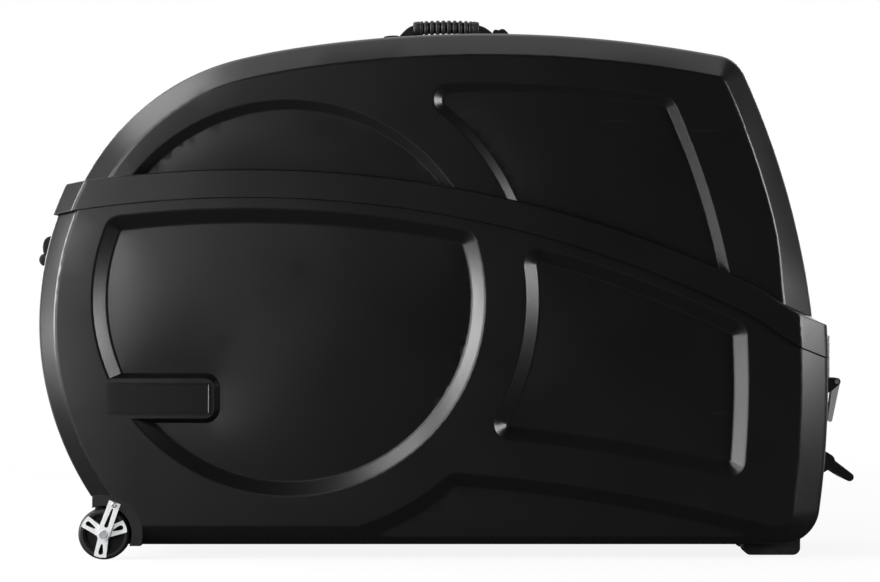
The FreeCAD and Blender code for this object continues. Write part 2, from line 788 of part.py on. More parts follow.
def tyre():
    faces = (-wheel_face, WHEEL_WIDTH - wheel_face)
    ring = wheel_rod(WHEEL_RADIUS, *faces)
    ring = ring.makeFillet(TYRE_ROUND, edges_at(ring, faces[0]) + edges_at(ring, faces[1]))
    return ring.cut(through_wheel(tyre_bore))


def wheel_core():
    """A rim and a hub joined by a sunk web."""
    rim_face = (WHEEL_WIDTH - RIM_WIDTH) / 2 - wheel_face
    core = wheel_rod(rim_inner + RIM_THICKNESS, rim_face, rim_face + RIM_WIDTH)
    core = core.cut(wheel_rod(rim_inner, -TOOL_REACH, web_face))
    core = core.cut(wheel_rod(rim_inner, web_face + WEB_THICKNESS, 0))
    core = core.fuse(wheel_rod(HUB_RADIUS, *hub_faces))
    return core.cut(through_wheel(bush_outer + SEAT)).removeSplitter()


def wheel_slot(angle, reach, root, tip):
    """A tapered slot along an arm of the wheel, right through it."""
    start, end = (polar(*wheel_centre, distance, angle) for distance in reach)
    return link(start, root, end, tip, -TOOL_REACH, 0)


def wheel_spider():
    """Three slotted spokes that lap over the tyre's face and stand on the web inside the rim."""
    face = -wheel_face - SPOKE_PROUD
    lap = -wheel_face - SEAT
    foot_end = web_face - SEAT
    inside = wheel_rod(rim_inner - SEAT, lap, foot_end).cut(through_wheel(HUB_RADIUS + SEAT))
    spider = wheel_rod(HUB_RADIUS, face, lap)
    for angle in SPOKE_ANGLES:
        end = polar(*wheel_centre, SPOKE_REACH, angle)
        spoke = link(wheel_centre, SPOKE_ROOT, end, SPOKE_TIP, face, foot_end)
        spoke = spoke.cut(wheel_slot(angle, SPOKE_SLOT, SPOKE_SLOT_ROOT, SPOKE_SLOT_TIP))
        cover = spoke.common(wheel_rod(SPOKE_REACH, face, lap))
        spider = spider.fuse([cover, spoke.common(inside)])
    return spider.cut(through_wheel(bush_outer)).removeSplitter()


def wheel_bush():
    return wheel_rod(bush_outer, *hub_faces).cut(through_wheel(AXLE_RADIUS + RUNNING))


def wheel_housing():
    """An arch over the wheel with a back plate, cut off at the nose and at the tub's floor."""
    arch = wheel_rod(HOUSING_RADIUS, -housing_front, -housing_back)
    arch = arch.cut(wheel_rod(WHEEL_RADIUS + HOUSING_GAP, -housing_front, housing_plate_face))
    x = (WHEEL_X - HOUSING_OVERHANG, WHEEL_X + 2 * HOUSING_RADIUS)
    z = (GROUND_CLEARANCE, WHEEL_RADIUS + 2 * HOUSING_RADIUS)
    arch = arch.common(box(x, (-housing_front, -housing_back), z))
    return arch.cut(through_wheel(AXLE_RADIUS + SEAT))


def axle_strut():
    """A slotted arm from the outboard end of the axle to the front of the arch, cut off square."""
    past_end = polar(*wheel_centre, strut_reach + STRUT_MARGIN + STRUT_END, STRUT_ANGLE)
    strut = link(wheel_centre, STRUT_EYE, past_end, STRUT_END, strut_face, -housing_front)
    length = (-STRUT_EYE, strut_reach + STRUT_MARGIN)
    room = box(length, (strut_face, -housing_front), (-STRUT_EYE, STRUT_EYE))
    room.rotate(V(0, 0, 0), Y_AXIS, -STRUT_ANGLE)
    room.translate(V(wheel_centre[0], 0, wheel_centre[1]))
    strut = strut.common(room)
    strut = strut.cut(wheel_slot(STRUT_ANGLE, STRUT_SLOT, STRUT_SLOT_ROOT, STRUT_SLOT_TIP))
    return strut.cut(through_wheel(AXLE_RADIUS + SEAT))


def wheel_axle():
    axle = wheel_rod(AXLE_RADIUS, strut_face, -housing_back - SEAT)
    cap = wheel_rod(AXLE_CAP_RADIUS, strut_face - AXLE_CAP, strut_face)
    cap = cap.makeFillet(AXLE_CAP / 2, edges_at(cap, strut_face - AXLE_CAP))
    return axle.fuse(cap).removeSplitter()


def housing_screws():
    out = V(0, -1, 0)
    screws = [Screw(V(strut_end[0], strut_face, strut_end[1]), out, STRUT_SCREW)]
    for angle in HOUSING_SCREW_ANGLES:
        x, z = polar(*wheel_centre, HOUSING_SCREW_CIRCLE, angle)
        screws.append(Screw(V(x, housing_plate_face, z), out, screw_length(HOUSING_PLATE, WALL)))
    return screws


def foot():
    """A block that stands on the floor and is shaped to the tub's tail corner."""
    x = (FOOT_X - FOOT_LENGTH / 2, FOOT_X + FOOT_LENGTH / 2)
    y = (-FOOT_Y - FOOT_WIDTH / 2, FOOT_WIDTH / 2 - FOOT_Y)
    block = box(x, y, (0, GROUND_CLEARANCE + BASE_TAIL_CORNER))
    low = [e for e in block.Edges if e.BoundBox.ZMax < SEAT]
    block = block.makeFillet(FOOT_ROUND, [e for e in low if e.BoundBox.YLength > SEAT])
    return block.cut(slab(outline(base_sides, base_corners, -TOOL_REACH, -SEAT), 2 * TOOL_REACH))


def foot_screws():
    seats = [V(FOOT_X + step, -FOOT_Y, floor_z) for step in FOOT_SCREW_STEPS]
    return [Screw(seat, V(0, 0, 1), FOOT_SCREW) for seat in seats]


def about_latch(half_width):
    """The limits in y of a piece centred on the near latch."""
    return (-LATCH_Y - half_width, half_width - LATCH_Y)


def latch_base():
    """A plate on the tail wall with two ears for the lever."""
    y = about_latch(LATCH_WIDTH / 2)
    z = (LATCH_Z - LATCH_PLATE_HEIGHT / 2, LATCH_Z + LATCH_PLATE_HEIGHT / 2)
    base = tail_plate(base_tail, LATCH_PLATE, y, z)
    root_z = LATCH_Z - LATCH_EYE
    root = (base_tail.x_at(root_z) + LATCH_PLATE, root_z)
    wall = rod(base_tail.x, base_tail.z, base_tail.radius + SEAT, -TOOL_REACH, 0)
    for start in (y[0], y[1] - LATCH_EAR):
        ear = link(root, LATCH_ROOT, latch_pivot, LATCH_EYE, start, start + LATCH_EAR)
        base = base.fuse(ear.cut(wall))
    return base.cut(rod(*latch_pivot, LATCH_PIN_RADIUS + SEAT, *y)).removeSplitter()


def latch_pins():
    """A stub pin in each ear, so that the hook can pass between them."""
    pins = []
    for sign in (-1, 1):
        inner = sign * cheek_inner - LATCH_Y
        outer = sign * LATCH_WIDTH / 2 - LATCH_Y
        pin = rod(*latch_pivot, LATCH_PIN_RADIUS, inner, outer)
        head = rod(*latch_pivot, LATCH_PIN_RADIUS + LATCH_PIN_HEAD, outer, outer + sign * LATCH_PIN_HEAD)
        pins.append(pin.fuse(head).removeSplitter())
    return Part.makeCompound(pins)


def latch_lever():
    """A tapered channel: two cheeks, a web on the outside, and a cross pin for the hook."""
    angle = -90 - LEVER_LEAN
    tip = polar(*latch_pivot, LEVER_LENGTH - LEVER_TIP / 2, angle)
    full = about_latch(cheek_outer)
    inside = about_latch(cheek_inner)
    lever = link(latch_pivot, LATCH_EYE, tip, LEVER_TIP / 2, *full)
    hollow = link(latch_pivot, LATCH_EYE, tip, LEVER_TIP / 2, *inside)
    inward = polar(0, 0, LEVER_WEB, angle - 90)
    upward = polar(0, 0, LEVER_WEB, angle + 180)
    hollow.translate(V(inward[0] + upward[0], 0, inward[1] + upward[1]))
    lever = lever.cut([hollow, rod(*latch_pivot, LEVER_WEB_START, *inside)])
    lever = lever.fuse(rod(*hook_pin, HOOK_PIN_RADIUS, *full))
    return lever.cut(rod(*latch_pivot, LATCH_PIN_RADIUS + RUNNING, *full)).removeSplitter()


def latch_strike():
    """A plate on the lid's band with the rib that the hook stands against."""
    y = about_latch(STRIKE_WIDTH / 2)
    z = (STRIKE_Z - STRIKE_HEIGHT / 2, STRIKE_Z + STRIKE_HEIGHT / 2)
    plate = tail_plate(band_tail, STRIKE_PLATE, y, z)
    rib_x = (strike_face - STRIKE_RIB - STRIKE_PLATE / 2, strike_face)
    rib_z = (STRIKE_Z - STRIKE_RIB_HEIGHT / 2, STRIKE_Z + STRIKE_RIB_HEIGHT / 2)
    return plate.fuse(box(rib_x, about_latch(HOOK_WIDTH / 2), rib_z)).removeSplitter()


def latch_hook():
    """An eye on the lever's cross pin, and a strip that stands up past the strike's rib."""
    y = about_latch(HOOK_WIDTH / 2)
    half = HOOK_THICKNESS / 2
    strip_x = strike_face + SLIDE_GAP + half
    bend = (strip_x, LATCH_Z + LATCH_EYE)
    head = (strip_x, STRIKE_Z + STRIKE_RIB_HEIGHT)
    hook = link(hook_pin, HOOK_EYE, bend, half, *y).fuse(link(bend, half, head, half - SEAT, *y))
    return hook.cut(rod(*hook_pin, HOOK_PIN_RADIUS + RUNNING, *y)).removeSplitter()


def tail_screws(wall, plate, y, heights, shank):
    """Screws square to a tail wall, through a plate on it, at one place in y."""
    screws = []
    for z in heights:
        out = V(wall.x_at(z) - wall.x, 0, z - wall.z).normalize()
        screws.append(Screw(V(wall.x, y, wall.z) + out * (wall.radius + SEAT + plate), out, shank))
    return screws


def latch_rivets():
    step = LATCH_PLATE_HEIGHT / 2 - SCREW_HEAD_RADIUS - SIDE_GAP
    shank = screw_length(LATCH_PLATE, WALL)
    return tail_screws(base_tail, LATCH_PLATE, -LATCH_Y, (LATCH_Z - step, LATCH_Z + step), shank)


def strike_rivets():
    """Flush on the inside, where the tub's rim stands close behind the band."""
    step = STRIKE_HEIGHT / 2 - SCREW_HEAD_RADIUS - SIDE_GAP
    shank = STRIKE_PLATE + WALL
    return tail_screws(band_tail, STRIKE_PLATE, -LATCH_Y, (STRIKE_Z - step, STRIKE_Z + step), shank)


def grip():
    """A ribbed grip along X about the origin, with a plain collar at each end."""
    half = GRIP_LENGTH / 2
    steps = 2 * GRIP_RIBS + 1
    step = (GRIP_LENGTH - 2 * GRIP_COLLAR) / steps
    valley = GRIP_RADIUS - GRIP_RIB_DEPTH
    points = [(-half, 0), (-half, valley), (GRIP_RIB_DEPTH - half, GRIP_RADIUS)]
    for i in range(steps + 1):
        x = GRIP_COLLAR - half + i * step
        heights = (valley, GRIP_RADIUS) if i % 2 else (GRIP_RADIUS, valley)
        points += [(x, height) for height in heights]
    points += [(half - GRIP_RIB_DEPTH, GRIP_RADIUS), (half, valley), (half, 0)]
    wire = Part.makePolygon([V(x, 0, r) for x, r in [*points, points[0]]])
    return Part.Face(wire).revolve(V(0, 0, 0), V(1, 0, 0), 360)


def strap(start, end, across, through, start_width=STRAP_WIDTH):
    """A flat strap between two places, with its width and its thickness along two directions."""
    thick = through * (STRAP_THICKNESS / 2)
    wires = []
    for place, width in ((start, start_width), (end, STRAP_WIDTH)):
        wide = across * (width / 2)
        corners = [place + wide + thick, place - wide + thick, place - wide - thick, place + wide - thick]
        wires.append(Part.makePolygon([*corners, corners[0]]))
    return Part.makeLoft(wires, True, True)


def crown_grip():
    shape = grip()
    shape.translate(V(CROWN_HANDLE_X, 0, crown_grip_z))
    return shape


def crown_bracket_top(sign):
    """The middle of the top of a crown bracket, towards the nose (-1) or the tail (1)."""
    x = CROWN_HANDLE_X + sign * BRACKET_SPACING / 2
    return V(x, 0, lid_crown.z_at(x) + BRACKET_HEIGHT)


def crown_bracket(sign):
    top = crown_bracket_top(sign)
    x = (top.x - BRACKET_LENGTH / 2, top.x + BRACKET_LENGTH / 2)
    block = box(x, (-BRACKET_WIDTH / 2, BRACKET_WIDTH / 2), (top.z - 2 * BRACKET_HEIGHT, top.z))
    block = block.makeFillet(BRACKET_ROUND, [e for e in block.Edges if e.BoundBox.ZMin > top.z - SEAT])
    return block.cut(rod(lid_crown.x, lid_crown.z, lid_crown.radius + SEAT, -TOOL_REACH, TOOL_REACH))


def crown_strap(sign):
    top = crown_bracket_top(sign)
    start = top - V(sign * BRACKET_LENGTH / 2, 0, BRACKET_HEIGHT / 2)
    end = V(CROWN_HANDLE_X + sign * (GRIP_LENGTH / 2 + SLIDE_GAP), 0, crown_grip_z)
    return strap(start, end, Y_AXIS, V(0, 0, 1))


def crown_handle_screws():
    seats = [crown_bracket_top(sign) - V(0, BRACKET_WIDTH / 4, 0) for sign in (-1, 1)]
    return [Screw(seat, V(0, 0, 1), screw_length(BRACKET_HEIGHT, WALL)) for seat in seats]


def nose_grip():
    shape = grip()
    shape.rotate(V(0, 0, 0), V(0, 0, 1), 90)
    shape.translate(V(nose_grip_x, 0, NOSE_HANDLE_Z))
    return shape


def nose_bracket():
    """The near bracket on the round nose wall, bored for its pin."""
    x = (nose_bracket_face, base_nose.x)
    y = (-bracket_inner - BRACKET_LENGTH, -bracket_inner)
    z = (nose_bracket_z - BRACKET_WIDTH / 2, nose_bracket_z + BRACKET_WIDTH / 2)
    block = box(x, y, z)
    block = block.makeFillet(BRACKET_ROUND, [e for e in block.Edges if e.BoundBox.XMax < x[0] + SEAT])
    block = block.cut(rod(base_nose.x, base_nose.z, base_nose.radius + SEAT, -TOOL_REACH, TOOL_REACH))
    seat_end = -bracket_inner - NOSE_PIN_SEAT - SEAT
    return block.cut(rod(*nose_pivot, NOSE_PIN_RADIUS + SEAT, seat_end, -bracket_inner))


def nose_pin():
    start = -bracket_inner - NOSE_PIN_SEAT
    return rod(*nose_pivot, NOSE_PIN_RADIUS, start, SLIDE_GAP + NOSE_EYE_LENGTH - bracket_inner)


def nose_strap():
    """The near strap: an eye on the bracket's pin, and a flat run to the end of the grip."""
    eye_start = SLIDE_GAP - bracket_inner
    eye_end = eye_start + NOSE_EYE_LENGTH
    start = V(nose_pivot[0], eye_end - STRAP_THICKNESS, nose_pivot[1])
    end = V(nose_grip_x, -GRIP_LENGTH / 2, NOSE_HANDLE_Z)
    run = strap(start, end, V(0, 0, 1), V(1, 0, 0), NOSE_STRAP_ROOT)
    eye = rod(*nose_pivot, NOSE_EYE_RADIUS, eye_start, eye_end)
    bore = rod(*nose_pivot, NOSE_PIN_RADIUS + RUNNING, eye_start, eye_end + SLIDE_GAP)
    return run.fuse(eye).cut(bore).removeSplitter()


def nose_handle_screws():
    screws = []
    for side in (-1, 1):
        z = nose_bracket_z + side * BRACKET_WIDTH / 4
        seat = V(nose_bracket_face, -BRACKET_SPACING / 2, z)
        depth = base_nose.x_at(z, tail=False) - nose_bracket_face
        screws.append(Screw(seat, V(-1, 0, 0), screw_length(depth, WALL)))
    return screws


def tow_mount():
    """A plate on the tail wall with an ear at each end of the handle."""
    half = tow_ear_end + TOW_PLATE_END
    z = (TOW_Z - TOW_PLATE_HEIGHT / 2, TOW_Z + TOW_PLATE_HEIGHT / 2)
    mount = tail_plate(base_tail, TOW_PLATE, (-half, half), z)
    wall = rod(base_tail.x, base_tail.z, base_tail.radius + SEAT, -TOOL_REACH, TOOL_REACH)
    root = (base_tail.x_at(TOW_Z) + TOW_PLATE, TOW_Z)
    for start in (-tow_ear_end, tow_ear_start):
        ear = link(root, TOW_EAR_ROOT, tow_pivot, TOW_ROOT / 2, start, start + TOW_EAR)
        mount = mount.fuse(ear.cut(wall))
    return mount.cut(rod(*tow_pivot, TOW_PIN_RADIUS + SEAT, -half, half)).removeSplitter()


def tow_handle():
    """A tapered loop with a window for the fingers."""
    half = TOW_WIDTH / 2
    tip = polar(*tow_pivot, TOW_LENGTH, TOW_LEAN)
    handle = link(tow_pivot, TOW_ROOT / 2, tip, TOW_TIP / 2, -half, half)
    start = TOW_ROOT / 2 + WALL
    length = TOW_LENGTH - TOW_BAR / 2 - start
    window = box((start, start + length), (TOW_ARM - half, half - TOW_ARM), (-TOW_ROOT, TOW_ROOT))
    window = window.makeFillet(TOW_TIP / 2, [e for e in window.Edges if e.BoundBox.ZLength > TOW_ROOT])
    window.rotate(V(0, 0, 0), Y_AXIS, -TOW_LEAN)
    window.translate(V(tow_pivot[0], 0, tow_pivot[1]))
    handle = handle.cut([window, rod(*tow_pivot, TOW_PIN_RADIUS + RUNNING, -half, half)])
    ends = [e for y in (-half, half) for e in edges_at(handle, y)]
    return handle.makeFillet(TOW_EDGE_ROUND, [e for e in ends if e.BoundBox.DiagonalLength > TOW_ROOT / 2])


def tow_pin():
    pin = rod(*tow_pivot, TOW_PIN_RADIUS, -tow_ear_end, tow_ear_end)
    for sign in (-1, 1):
        head_end = sign * (tow_ear_end + TOW_PIN_HEAD)
        pin = pin.fuse(rod(*tow_pivot, TOW_PIN_RADIUS + TOW_PIN_HEAD, sign * tow_ear_end, head_end))
    return pin.removeSplitter()


def tow_screws():
    y = tow_ear_end + TOW_PLATE_END / 2
    step = TOW_PLATE_HEIGHT / 2 - 2 * SCREW_HEAD_RADIUS
    shank = screw_length(TOW_PLATE, WALL)
    return tail_screws(base_tail, TOW_PLATE, -y, (TOW_Z - step, TOW_Z + step), shank)


def frame_rail():
    half = RAIL_WIDTH / 2
    tube = box(rail_ends, (-half, half), (rail_bottom, rail_top))
    inner = half - RAIL_WALL
    return tube.cut(box(rail_ends, (-inner, inner), (rail_bottom + RAIL_WALL, rail_top - RAIL_WALL)))


def support_places():
    return (rail_ends[0] + RAIL_SUPPORT_INSET, rail_ends[1] - RAIL_SUPPORT_INSET)


def rail_supports():
    half = RAIL_SUPPORT_LENGTH / 2
    y = (-RAIL_SUPPORT_WIDTH / 2, RAIL_SUPPORT_WIDTH / 2)
    blocks = []
    for x in support_places():
        block = box((x - half, x + half), y, (floor_z, rail_bottom))
        blocks.append(block.makeFillet(SUPPORT_ROUND, [e for e in block.Edges if e.BoundBox.ZLength > SEAT]))
    return Part.makeCompound(blocks)


def rail_bolts():
    """Flush with the underside of the floor."""
    y = (RAIL_WIDTH + RAIL_SUPPORT_WIDTH) / 4
    shank = RAIL_SUPPORT_HEIGHT + WALL
    return [Screw(V(x, -y, rail_bottom), V(0, 0, 1), shank) for x in support_places()]


def carriage(x, length, top):
    """A saddle that slides on the rail, with its skirts down both sides of it."""
    half = RAIL_WIDTH / 2 + SLIDE_GAP
    y = (-half - CARRIAGE_WALL, half + CARRIAGE_WALL)
    block = box((x - length / 2, x + length / 2), y, (rail_top - CARRIAGE_SKIRT, top))
    return block.cut(box((x - length, x + length), (-half, half), (0, rail_top + SLIDE_GAP)))


def fork_block():
    """A carriage with an upright and a cross barrel that the fork ends clamp on."""
    block = carriage(FORK_X, FORK_LENGTH, rail_top + SLIDE_GAP + CARRIAGE_WALL)
    x = (FORK_X - FORK_BARREL, FORK_X + FORK_BARREL)
    upright = box(x, (-RAIL_WIDTH / 2, RAIL_WIDTH / 2), (rail_top + SLIDE_GAP, skewer_axis[1]))
    barrel = rod(*skewer_axis, FORK_BARREL, -FORK_WIDTH / 2, FORK_WIDTH / 2)
    bore = rod(*skewer_axis, SKEWER_RADIUS + SEAT, -FORK_WIDTH, FORK_WIDTH)
    return block.fuse([upright, barrel]).cut(bore).removeSplitter()


def fork_skewer():
    return rod(*skewer_axis, SKEWER_RADIUS, -skewer_reach, skewer_reach)


def skewer_nut():
    nut = rod(*skewer_axis, NUT_RADIUS, skewer_nut_start, skewer_reach)
    nut = nut.makeFillet(NUT_ROUND, edges_at(nut, skewer_reach))
    return nut.cut(rod(*skewer_axis, SKEWER_RADIUS + SEAT, skewer_nut_start, skewer_reach))


def skewer_lever():
    y = (-skewer_reach, -skewer_nut_start)
    arm_y = (-skewer_reach, SKEWER_LEVER_THICKNESS - skewer_reach)
    tip = polar(*skewer_axis, SKEWER_LEVER_LENGTH, 90)
    arm = link(skewer_axis, SKEWER_LEVER_ARM, tip, SKEWER_LEVER_TIP, *arm_y)
    lever = rod(*skewer_axis, SKEWER_LEVER_HUB, *y).fuse(arm)
    return lever.cut(rod(*skewer_axis, SKEWER_RADIUS + RUNNING, *y)).removeSplitter()


def frame_cradle():
    """A carriage with a round trough for the bicycle's frame."""
    trough = rod(*cradle_axis, CRADLE_ARC + CRADLE_PAD + SEAT, -TOOL_REACH, TOOL_REACH)
    return carriage(CRADLE_X, CRADLE_LENGTH, cradle_top).cut(trough)


def cradle_pad():
    outer = CRADLE_ARC + CRADLE_PAD
    y = (-RAIL_WIDTH / 2 - CARRIAGE_WALL, RAIL_WIDTH / 2 + CARRIAGE_WALL)
    pad = rod(*cradle_axis, outer, *y).cut(rod(*cradle_axis, CRADLE_ARC, *y))
    return pad.common(box((CRADLE_X - outer, CRADLE_X + outer), y, (rail_top, cradle_top)))


def mirrored_pair(name):
    return [f"{name}_near", f"{name}_far"]


def crown_pair(name):
    return [f"{name}_nose", f"{name}_tail"]


def fasten(parts, name, screws, through):
    """Adds a group of screws as one node, and bores the pieces that they pass through."""
    parts[name] = Part.makeCompound([screw.solid() for screw in screws])
    holes = [screw.hole() for screw in screws]
    for piece in through:
        parts[piece] = parts[piece].cut(holes)


SINGLE_PIECES = [
    base_shell,
    lid_shell,
    crown_grip,
    nose_grip,
    tow_mount,
    tow_handle,
    tow_pin,
    frame_rail,
    rail_supports,
    fork_block,
    fork_skewer,
    skewer_nut,
    skewer_lever,
    frame_cradle,
    cradle_pad,
]
PAIRED_PIECES = [
    badge_plate,
    tyre,
    wheel_core,
    wheel_spider,
    wheel_bush,
    wheel_housing,
    axle_strut,
    wheel_axle,
    foot,
    latch_base,
    latch_pins,
    latch_lever,
    latch_strike,
    latch_hook,
    nose_bracket,
    nose_pin,
    nose_strap,
]
CROWN_PIECES = [crown_bracket, crown_strap]

# Each group of fasteners, and the pieces that it passes through
FASTENERS = {
    housing_screws: ["base_shell", *mirrored_pair("wheel_housing"), *mirrored_pair("axle_strut")],
    foot_screws: ["base_shell", *mirrored_pair("foot")],
    latch_rivets: ["base_shell", *mirrored_pair("latch_base")],
    strike_rivets: ["lid_shell", *mirrored_pair("latch_strike")],
    crown_handle_screws: ["lid_shell", *crown_pair("crown_bracket")],
    nose_handle_screws: ["base_shell", *mirrored_pair("nose_bracket")],
    tow_screws: ["base_shell", "tow_mount"],
    rail_bolts: ["base_shell", "rail_supports"],
}


def main():
    os.makedirs("parts", exist_ok=True)
    parts = {piece.__name__: piece() for piece in SINGLE_PIECES}
    for piece in PAIRED_PIECES:
        near, far = mirrored_pair(piece.__name__)
        parts[near] = piece()
        parts[far] = mirrored(parts[near])
    for piece in CROWN_PIECES:
        nose, tail = crown_pair(piece.__name__)
        parts[nose] = piece(-1)
        parts[tail] = piece(1)
    for screws, through in FASTENERS.items():
        near = screws()
        fasten(parts, screws.__name__, near + [screw.far_copy() for screw in near], through)

    for name, shape in parts.items():
        print(name, shape.isValid(), len(shape.Solids), round(shape.Volume), len(shape.Faces))
        shape.exportStep(f"parts/{name}.step")


main()
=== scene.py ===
"""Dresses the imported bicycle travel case: its shells, wheels, handles, latches, carrier and stage."""

import json
import math

import bmesh
import bpy
import numpy as np
from bpy.props import FloatProperty, FloatVectorProperty, IntProperty, PointerProperty
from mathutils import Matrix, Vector
from mathutils.kdtree import KDTree


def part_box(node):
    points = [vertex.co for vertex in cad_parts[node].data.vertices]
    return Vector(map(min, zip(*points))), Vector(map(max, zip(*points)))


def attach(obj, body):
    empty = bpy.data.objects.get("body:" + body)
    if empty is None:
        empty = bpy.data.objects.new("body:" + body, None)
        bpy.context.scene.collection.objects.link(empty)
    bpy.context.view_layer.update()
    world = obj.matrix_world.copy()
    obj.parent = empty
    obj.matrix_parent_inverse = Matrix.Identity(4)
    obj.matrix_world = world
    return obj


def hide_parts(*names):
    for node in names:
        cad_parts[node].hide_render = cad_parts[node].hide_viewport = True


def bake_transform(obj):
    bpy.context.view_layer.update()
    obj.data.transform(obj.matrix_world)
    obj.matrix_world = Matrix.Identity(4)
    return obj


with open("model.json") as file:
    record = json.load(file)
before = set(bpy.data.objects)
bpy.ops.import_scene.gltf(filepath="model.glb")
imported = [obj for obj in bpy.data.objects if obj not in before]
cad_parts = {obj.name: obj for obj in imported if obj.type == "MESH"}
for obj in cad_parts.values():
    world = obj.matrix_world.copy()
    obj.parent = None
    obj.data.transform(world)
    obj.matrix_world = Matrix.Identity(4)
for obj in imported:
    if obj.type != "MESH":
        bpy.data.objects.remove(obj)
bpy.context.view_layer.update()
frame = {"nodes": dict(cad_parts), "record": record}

bl_info = {
    "name": "Travel Case Dresser",
    "version": (1, 0, 0),
    "blender": (4, 5, 0),
    "location": "View3D > Sidebar > Travel Case",
    "description": "Models and paints a hard bicycle travel case around its packed frame",
    "category": "Object",
}

NODES = frame["nodes"]
RECORD = frame["record"]
BODY_OF = {node: body for body, nodes in RECORD["behaviour"]["bodies"].items() for node in nodes}
SLOT_OF = {row["node"]: row["material_slot"] for row in RECORD["subparts"]}

JOIN_DISTANCE = 4e-6
FLAT_ANGLE = math.radians(0.6)
SHARP_ANGLE = math.radians(36)
SHELL_SHARP_ANGLE = math.radians(36.7)
STRAP_ANGLE = math.radians(50)
ROUND_ANGLE = math.radians(60)
SEAM_TUCK = 0.003

# Roundings of edges, as they leave a press or a mould
PLATE_EDGE = 0.0004
SHEET_EDGE = 0.0005
CAST_EDGE = 0.0006
THIN_EDGE = 0.0008
CHEEK_EDGE = 0.0009
MOULDED_EDGE = 0.001
THICK_EDGE = 0.0012
BRACKET_EDGE = 0.0014
FOOT_EDGE = 0.0015
CAP_EDGE = 0.002
BOOT_EDGE = 0.0022

# Panel floors: how flat they are, and how near to a panel's border a cut's corner joins it, in steps
PANEL_TOLERANCE = 0.0004
RIM_SHARE = 0.25

# Where the tail's bevel grows to its full width: along the case, up from the floor, and where it ends
TAIL_BEVEL_RUN = (0.5, 0.56)
TAIL_BEVEL_LOW = (0.0, 0.1)
TAIL_BEVEL_TOP = (0.42, 0.55)

# Points along the boots, straps and cheeks, and the length of a nose strap's eye
BOOT_RINGS = 15
STRAP_ROWS = 9
CHEEK_POINTS = 25
EYE_LENGTH = 0.008

# The cradle's pad: its edges are thinner, and its two quilted channels lie at these shares of its width
PAD_THICKNESS = 0.006
PAD_CUTS = 31
PAD_SPREAD = 1.6
PAD_LIP = 0.32
PAD_PULL = 0.03
CHANNEL_DEPTH, CHANNEL_PLACE, CHANNEL_WIDTH = 0.22, 0.42, 0.045

# The floor's distance below the wheels, its fade in shares of its radius, and where the backdrop starts
FLOOR_DROP = 0.0003
FLOOR_FADE = (0.14, 0.34)
BACKDROP_START = (0.2, 0.6)


def paired(*names):
    return [f"{name}_{side}" for name in names for side in ("near", "far")]


def middle(node):
    low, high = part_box(node)
    return (low + high) / 2


# Tools for modelling


def alone(obj):
    """Selects this object and nothing else."""
    bpy.ops.object.select_all(action="DESELECT")
    obj.select_set(True)
    bpy.context.view_layer.objects.active = obj


def edit(obj, action="SELECT"):
    alone(obj)
    bpy.ops.object.mode_set(mode="EDIT")
    bpy.ops.mesh.select_all(action=action)


def leave_edit():
    bpy.ops.object.mode_set(mode="OBJECT")


def modify(obj, kind, **settings):
    """Adds one modifier and applies it."""
    alone(obj)
    modifier = obj.modifiers.new(kind.title(), kind)
    for key, value in settings.items():
        setattr(modifier, key, value)
    bpy.ops.object.modifier_apply(modifier=modifier.name)


def round_edges(obj, width, segments=2, angle=SHARP_ANGLE):
    modify(obj, "BEVEL", width=width, segments=segments, limit_method="ANGLE", angle_limit=angle)


def smooth(obj, angle=SHARP_ANGLE):
    """Smooth shading up to an angle, with the large faces ruling the normals."""
    alone(obj)
    bpy.ops.object.shade_smooth_by_angle(angle=angle)
    modify(obj, "WEIGHTED_NORMAL", keep_sharp=True, weight=60)


def linked(name, mesh):
    """A new object of this mesh in the scene."""
    obj = bpy.data.objects.new(name, mesh)
    bpy.context.scene.collection.objects.link(obj)
    return obj


def mesh_piece(name, points, faces):
    mesh = bpy.data.meshes.new(name)
    mesh.from_pydata([tuple(p) for p in points], [], faces)
    return linked(name, mesh)


def copied(node, name):
    """A copy of a CAD node's mesh as a piece of its own, its loose triangles joined."""
    obj = linked(name, NODES[node].data.copy())
    obj.data.materials.clear()
    edit(obj)
    bpy.ops.mesh.remove_doubles(threshold=JOIN_DISTANCE)
    bpy.ops.mesh.customdata_custom_splitnormals_clear()
    leave_edit()
    return obj


def both_sides(near, stem):
    """A near piece and its mirrored far twin, which has its own mesh, each with the name of its side."""
    far = linked(f"{stem}_far", near.data.copy())
    for vertex in far.data.vertices:
        vertex.co.y = -vertex.co.y
    edit(far)
    bpy.ops.mesh.flip_normals()
    leave_edit()
    return (near, "near"), (far, "far")


def face_outwards(obj):
    edit(obj)
    bpy.ops.mesh.normals_make_consistent(inside=False)
    leave_edit()


def lofted(name, rings, rounding):
    """A closed block through rings of points, capped at both ends, with its sharp edges rounded."""
    count = len(rings[0])
    points = [point for ring in rings for point in ring]
    last = len(points) - count
    faces = [tuple(range(count)), tuple(range(last + count - 1, last - 1, -1))]
    for start in range(0, last, count):
        for side in range(count):
            other = (side + 1) % count
            faces.append((start + side, start + count + side, start + count + other, start + other))
    block = mesh_piece(name, points, faces)
    face_outwards(block)
    round_edges(block, rounding, 3, STRAP_ANGLE)
    smooth(block, ROUND_ANGLE)
    return block


